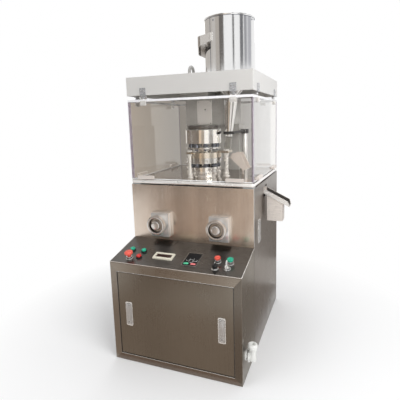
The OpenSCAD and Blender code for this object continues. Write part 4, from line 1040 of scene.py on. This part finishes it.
# Cards that only reflections and panes see. Standing ones are arcs round the press: start and end in
# degrees, low and high, colour. Lying ones are arcs on the floor, and flat ones are rectangles on it.
CARD_R, LYING_R, CARD_FLOOR, FLAT_FLOOR = 4.2, 1.15, 0.002, 0.003
ARC_STEPS = 6
UPPER, LEVEL, LOWER = (1.95, 4.5), (1.5, 1.93), (0.05, 1.48)
STANDING = (
    (-248, -160, UPPER, (0.55, 0.515, 0.48)),
    (-160, -140, UPPER, (0.6, 0.57, 0.54)),
    (-140, -119, UPPER, (0.5, 0.46, 0.42)),
    (-119, -98, UPPER, (0.17, 0.155, 0.145)),
    (-60, -53, UPPER, (0.12, 0.12, 0.12)),
    (-27, -12, UPPER, (0.2, 0.2, 0.21)),
    (-8, 6, UPPER, (0.4, 0.4, 0.42)),
    (6, 15, UPPER, (0.7, 0.7, 0.72)),
    (15, 36, UPPER, (0.52, 0.52, 0.55)),
    (-140, -112, LEVEL, (0.4, 0.385, 0.36)),
    (-200, -98, LOWER, (0.2, 0.17, 0.145)),
    (-98, -83, LOWER, (0.78, 0.63, 0.48)),
    (-83, -65, LOWER, (0.44, 0.38, 0.32)),
    (-64, -37, LOWER, (1.2, 1.19, 1.17)),
    (-36, -8, LOWER, (0.42, 0.41, 0.4)),
    (-6, 45, LOWER, (1.2, 1.19, 1.17)),
)
LYING = (
    (-122.3, -108, (0.34, 0.265, 0.215)),
    (-108, -92, (0.43, 0.36, 0.31)),
    (56, 102, (0.32, 0.29, 0.265)),
)
FLAT = {
    "beside_card": ((0.36, -0.3), (1.3, 0.6), (0.3, 0.265, 0.235)),
    "band_card": ((0.36, 0.62), (1.3, 1.05), (0.66, 0.63, 0.6)),
    "before_card": ((-1.0, -1.0), (0.6, -0.43), (0.5, 0.42, 0.36)),
}
# The card behind the press changes its tone from its start to its end
ROOM = (96, 145, (0.05, 4.5))
ROOM_STOPS = ((0.0, (0.68, 0.68, 0.68)), (0.13, (0.52, 0.51, 0.5)), (0.3, (0.38, 0.365, 0.345)),
              (0.5, (0.3, 0.28, 0.255)), (0.7, (0.5, 0.44, 0.38)), (1.0, (0.6, 0.55, 0.5)))


def card(name, rows, rgb=None, fade=None):
    """A sheet through rows of point pairs. fade gives (start x, end x, stops) instead of one colour."""
    made = Finish(name)
    glow = made.node("ShaderNodeEmission")
    if fade:
        start, end, stops = fade
        split = made.node("ShaderNodeSeparateXYZ")
        made.link(made.place, split.inputs["Vector"])
        share = made.spread(split.outputs["X"], 0.0, 1.0, start, end)
        made.link(made.ramp(share, stops), glow.inputs["Color"])
    else:
        glow.inputs["Color"].default_value = (*rgb, 1.0)
    made.link(glow.outputs["Emission"], made.surface)
    bm = bmesh.new()
    rows = [[bm.verts.new(point) for point in row] for row in rows]
    for a, b in zip(rows, rows[1:]):
        bm.faces.new((a[0], b[0], b[1], a[1]))
    shown = place_mesh(bm, name, made.mat)
    for ray in ("camera", "diffuse", "volume_scatter", "shadow"):
        setattr(shown, "visible_" + ray, False)


def arc(start, end, ends):
    """Rows along an arc between two (radius, height) ends."""
    spots = [level(start + (end - start) * i / ARC_STEPS) for i in range(ARC_STEPS + 1)]
    return [[(r * spot.x, r * spot.y, z) for r, z in ends] for spot in spots]


for k, (start, end, (low, high), rgb) in enumerate(STANDING):
    card(f"standing_card_{k}", arc(start, end, ((CARD_R, low), (CARD_R, high))), rgb)
for k, (start, end, rgb) in enumerate(LYING):
    card(f"lying_card_{k}", arc(start, end, ((LYING_R, CARD_FLOOR), (CARD_R, CARD_FLOOR))), rgb)
for name, ((x0, y0), (x1, y1), rgb) in FLAT.items():
    card(name, [[(x, y, FLAT_FLOOR) for x in (x0, x1)] for y in (y0, y1)], rgb)
start, end, (low, high) = ROOM
fade = (CARD_R * level(start).x, CARD_R * level(end).x, ROOM_STOPS)
card("room_card", arc(start, end, ((CARD_R, low), (CARD_R, high))), fade=fade)

world = bpy.data.worlds.new("studio")
scene.world = world
world.use_nodes = True
tree = world.node_tree
light = tree.nodes["Background"]
light.inputs["Color"].default_value = (0.97, 0.98, 1.0, 1.0)
light.inputs["Strength"].default_value = 0.5
white = tree.nodes.new("ShaderNodeBackground")
white.inputs["Color"].default_value = (1.0, 1.0, 1.0, 1.0)
white.inputs["Strength"].default_value = 1.0
mix = tree.nodes.new("ShaderNodeMixShader")
tree.links.new(seen_rays(tree), mix.inputs["Fac"])
tree.links.new(light.outputs["Background"], mix.inputs[1])
tree.links.new(white.outputs["Background"], mix.inputs[2])
tree.links.new(mix.outputs["Shader"], tree.nodes["World Output"].inputs["Surface"])


def lamp(name, place, aim, size, power, mirrored=True):
    """A soft rectangular lamp, which reflections see where mirrored."""
    data = bpy.data.lights.new(name, "AREA")
    data.shape = "RECTANGLE"
    data.size, data.size_y = size
    data.energy = power
    made = bpy.data.objects.new(name, data)
    made.visible_glossy = mirrored
    made.location = place
    made.rotation_euler = (Vector(aim) - Vector(place)).to_track_quat("-Z", "Y").to_euler()
    scene.collection.objects.link(made)


lamp("key", (2.0, -1.5, 2.2), (0, 0, 0.9), (1.8, 1.8), 54, False)
lamp("fill", (-2.6, -3.0, 2.4), (0, 0, 0.8), (2.6, 2.6), 26, False)
lamp("back", (-1.0, 3.4, 3.2), (0, 0, 0.9), (2.6, 2.0), 26)
lamp("top", (0.0, 0.0, 4.2), (0, 0, 0), (3.0, 3.0), 24)

# Camera at the photograph's place: focal length and middle in pixels of a 400 by 400 frame
FRAME_PX, FOCAL_PX, MID_X, MID_Y = 400.0, 357.66, 211.05, 177.70
CAMERA_AT = (0.6903, -1.7457, 1.1375)
pitch, roll, yaw = (math.radians(v) for v in (-9.07, -1.39, -20.28))
ahead = Vector((math.sin(yaw) * math.cos(pitch), math.cos(yaw) * math.cos(pitch), math.sin(pitch)))
right = Vector((math.cos(yaw), -math.sin(yaw), 0))
up = right.cross(ahead)
across = right * math.cos(roll) + up * math.sin(roll)
upward = up * math.cos(roll) - right * math.sin(roll)
lens = bpy.data.cameras.new("camera")
lens.sensor_width = 36.0
lens.lens = FOCAL_PX / FRAME_PX * lens.sensor_width
lens.shift_x = (FRAME_PX / 2 - MID_X) / FRAME_PX
lens.shift_y = (MID_Y - FRAME_PX / 2) / FRAME_PX
lens.clip_end = 100.0
camera = bpy.data.objects.new("camera", lens)
camera.matrix_world = matrix(CAMERA_AT, across, upward, -ahead)
scene.collection.objects.link(camera)
scene.camera = camera
scene.view_settings.view_transform = "Standard"
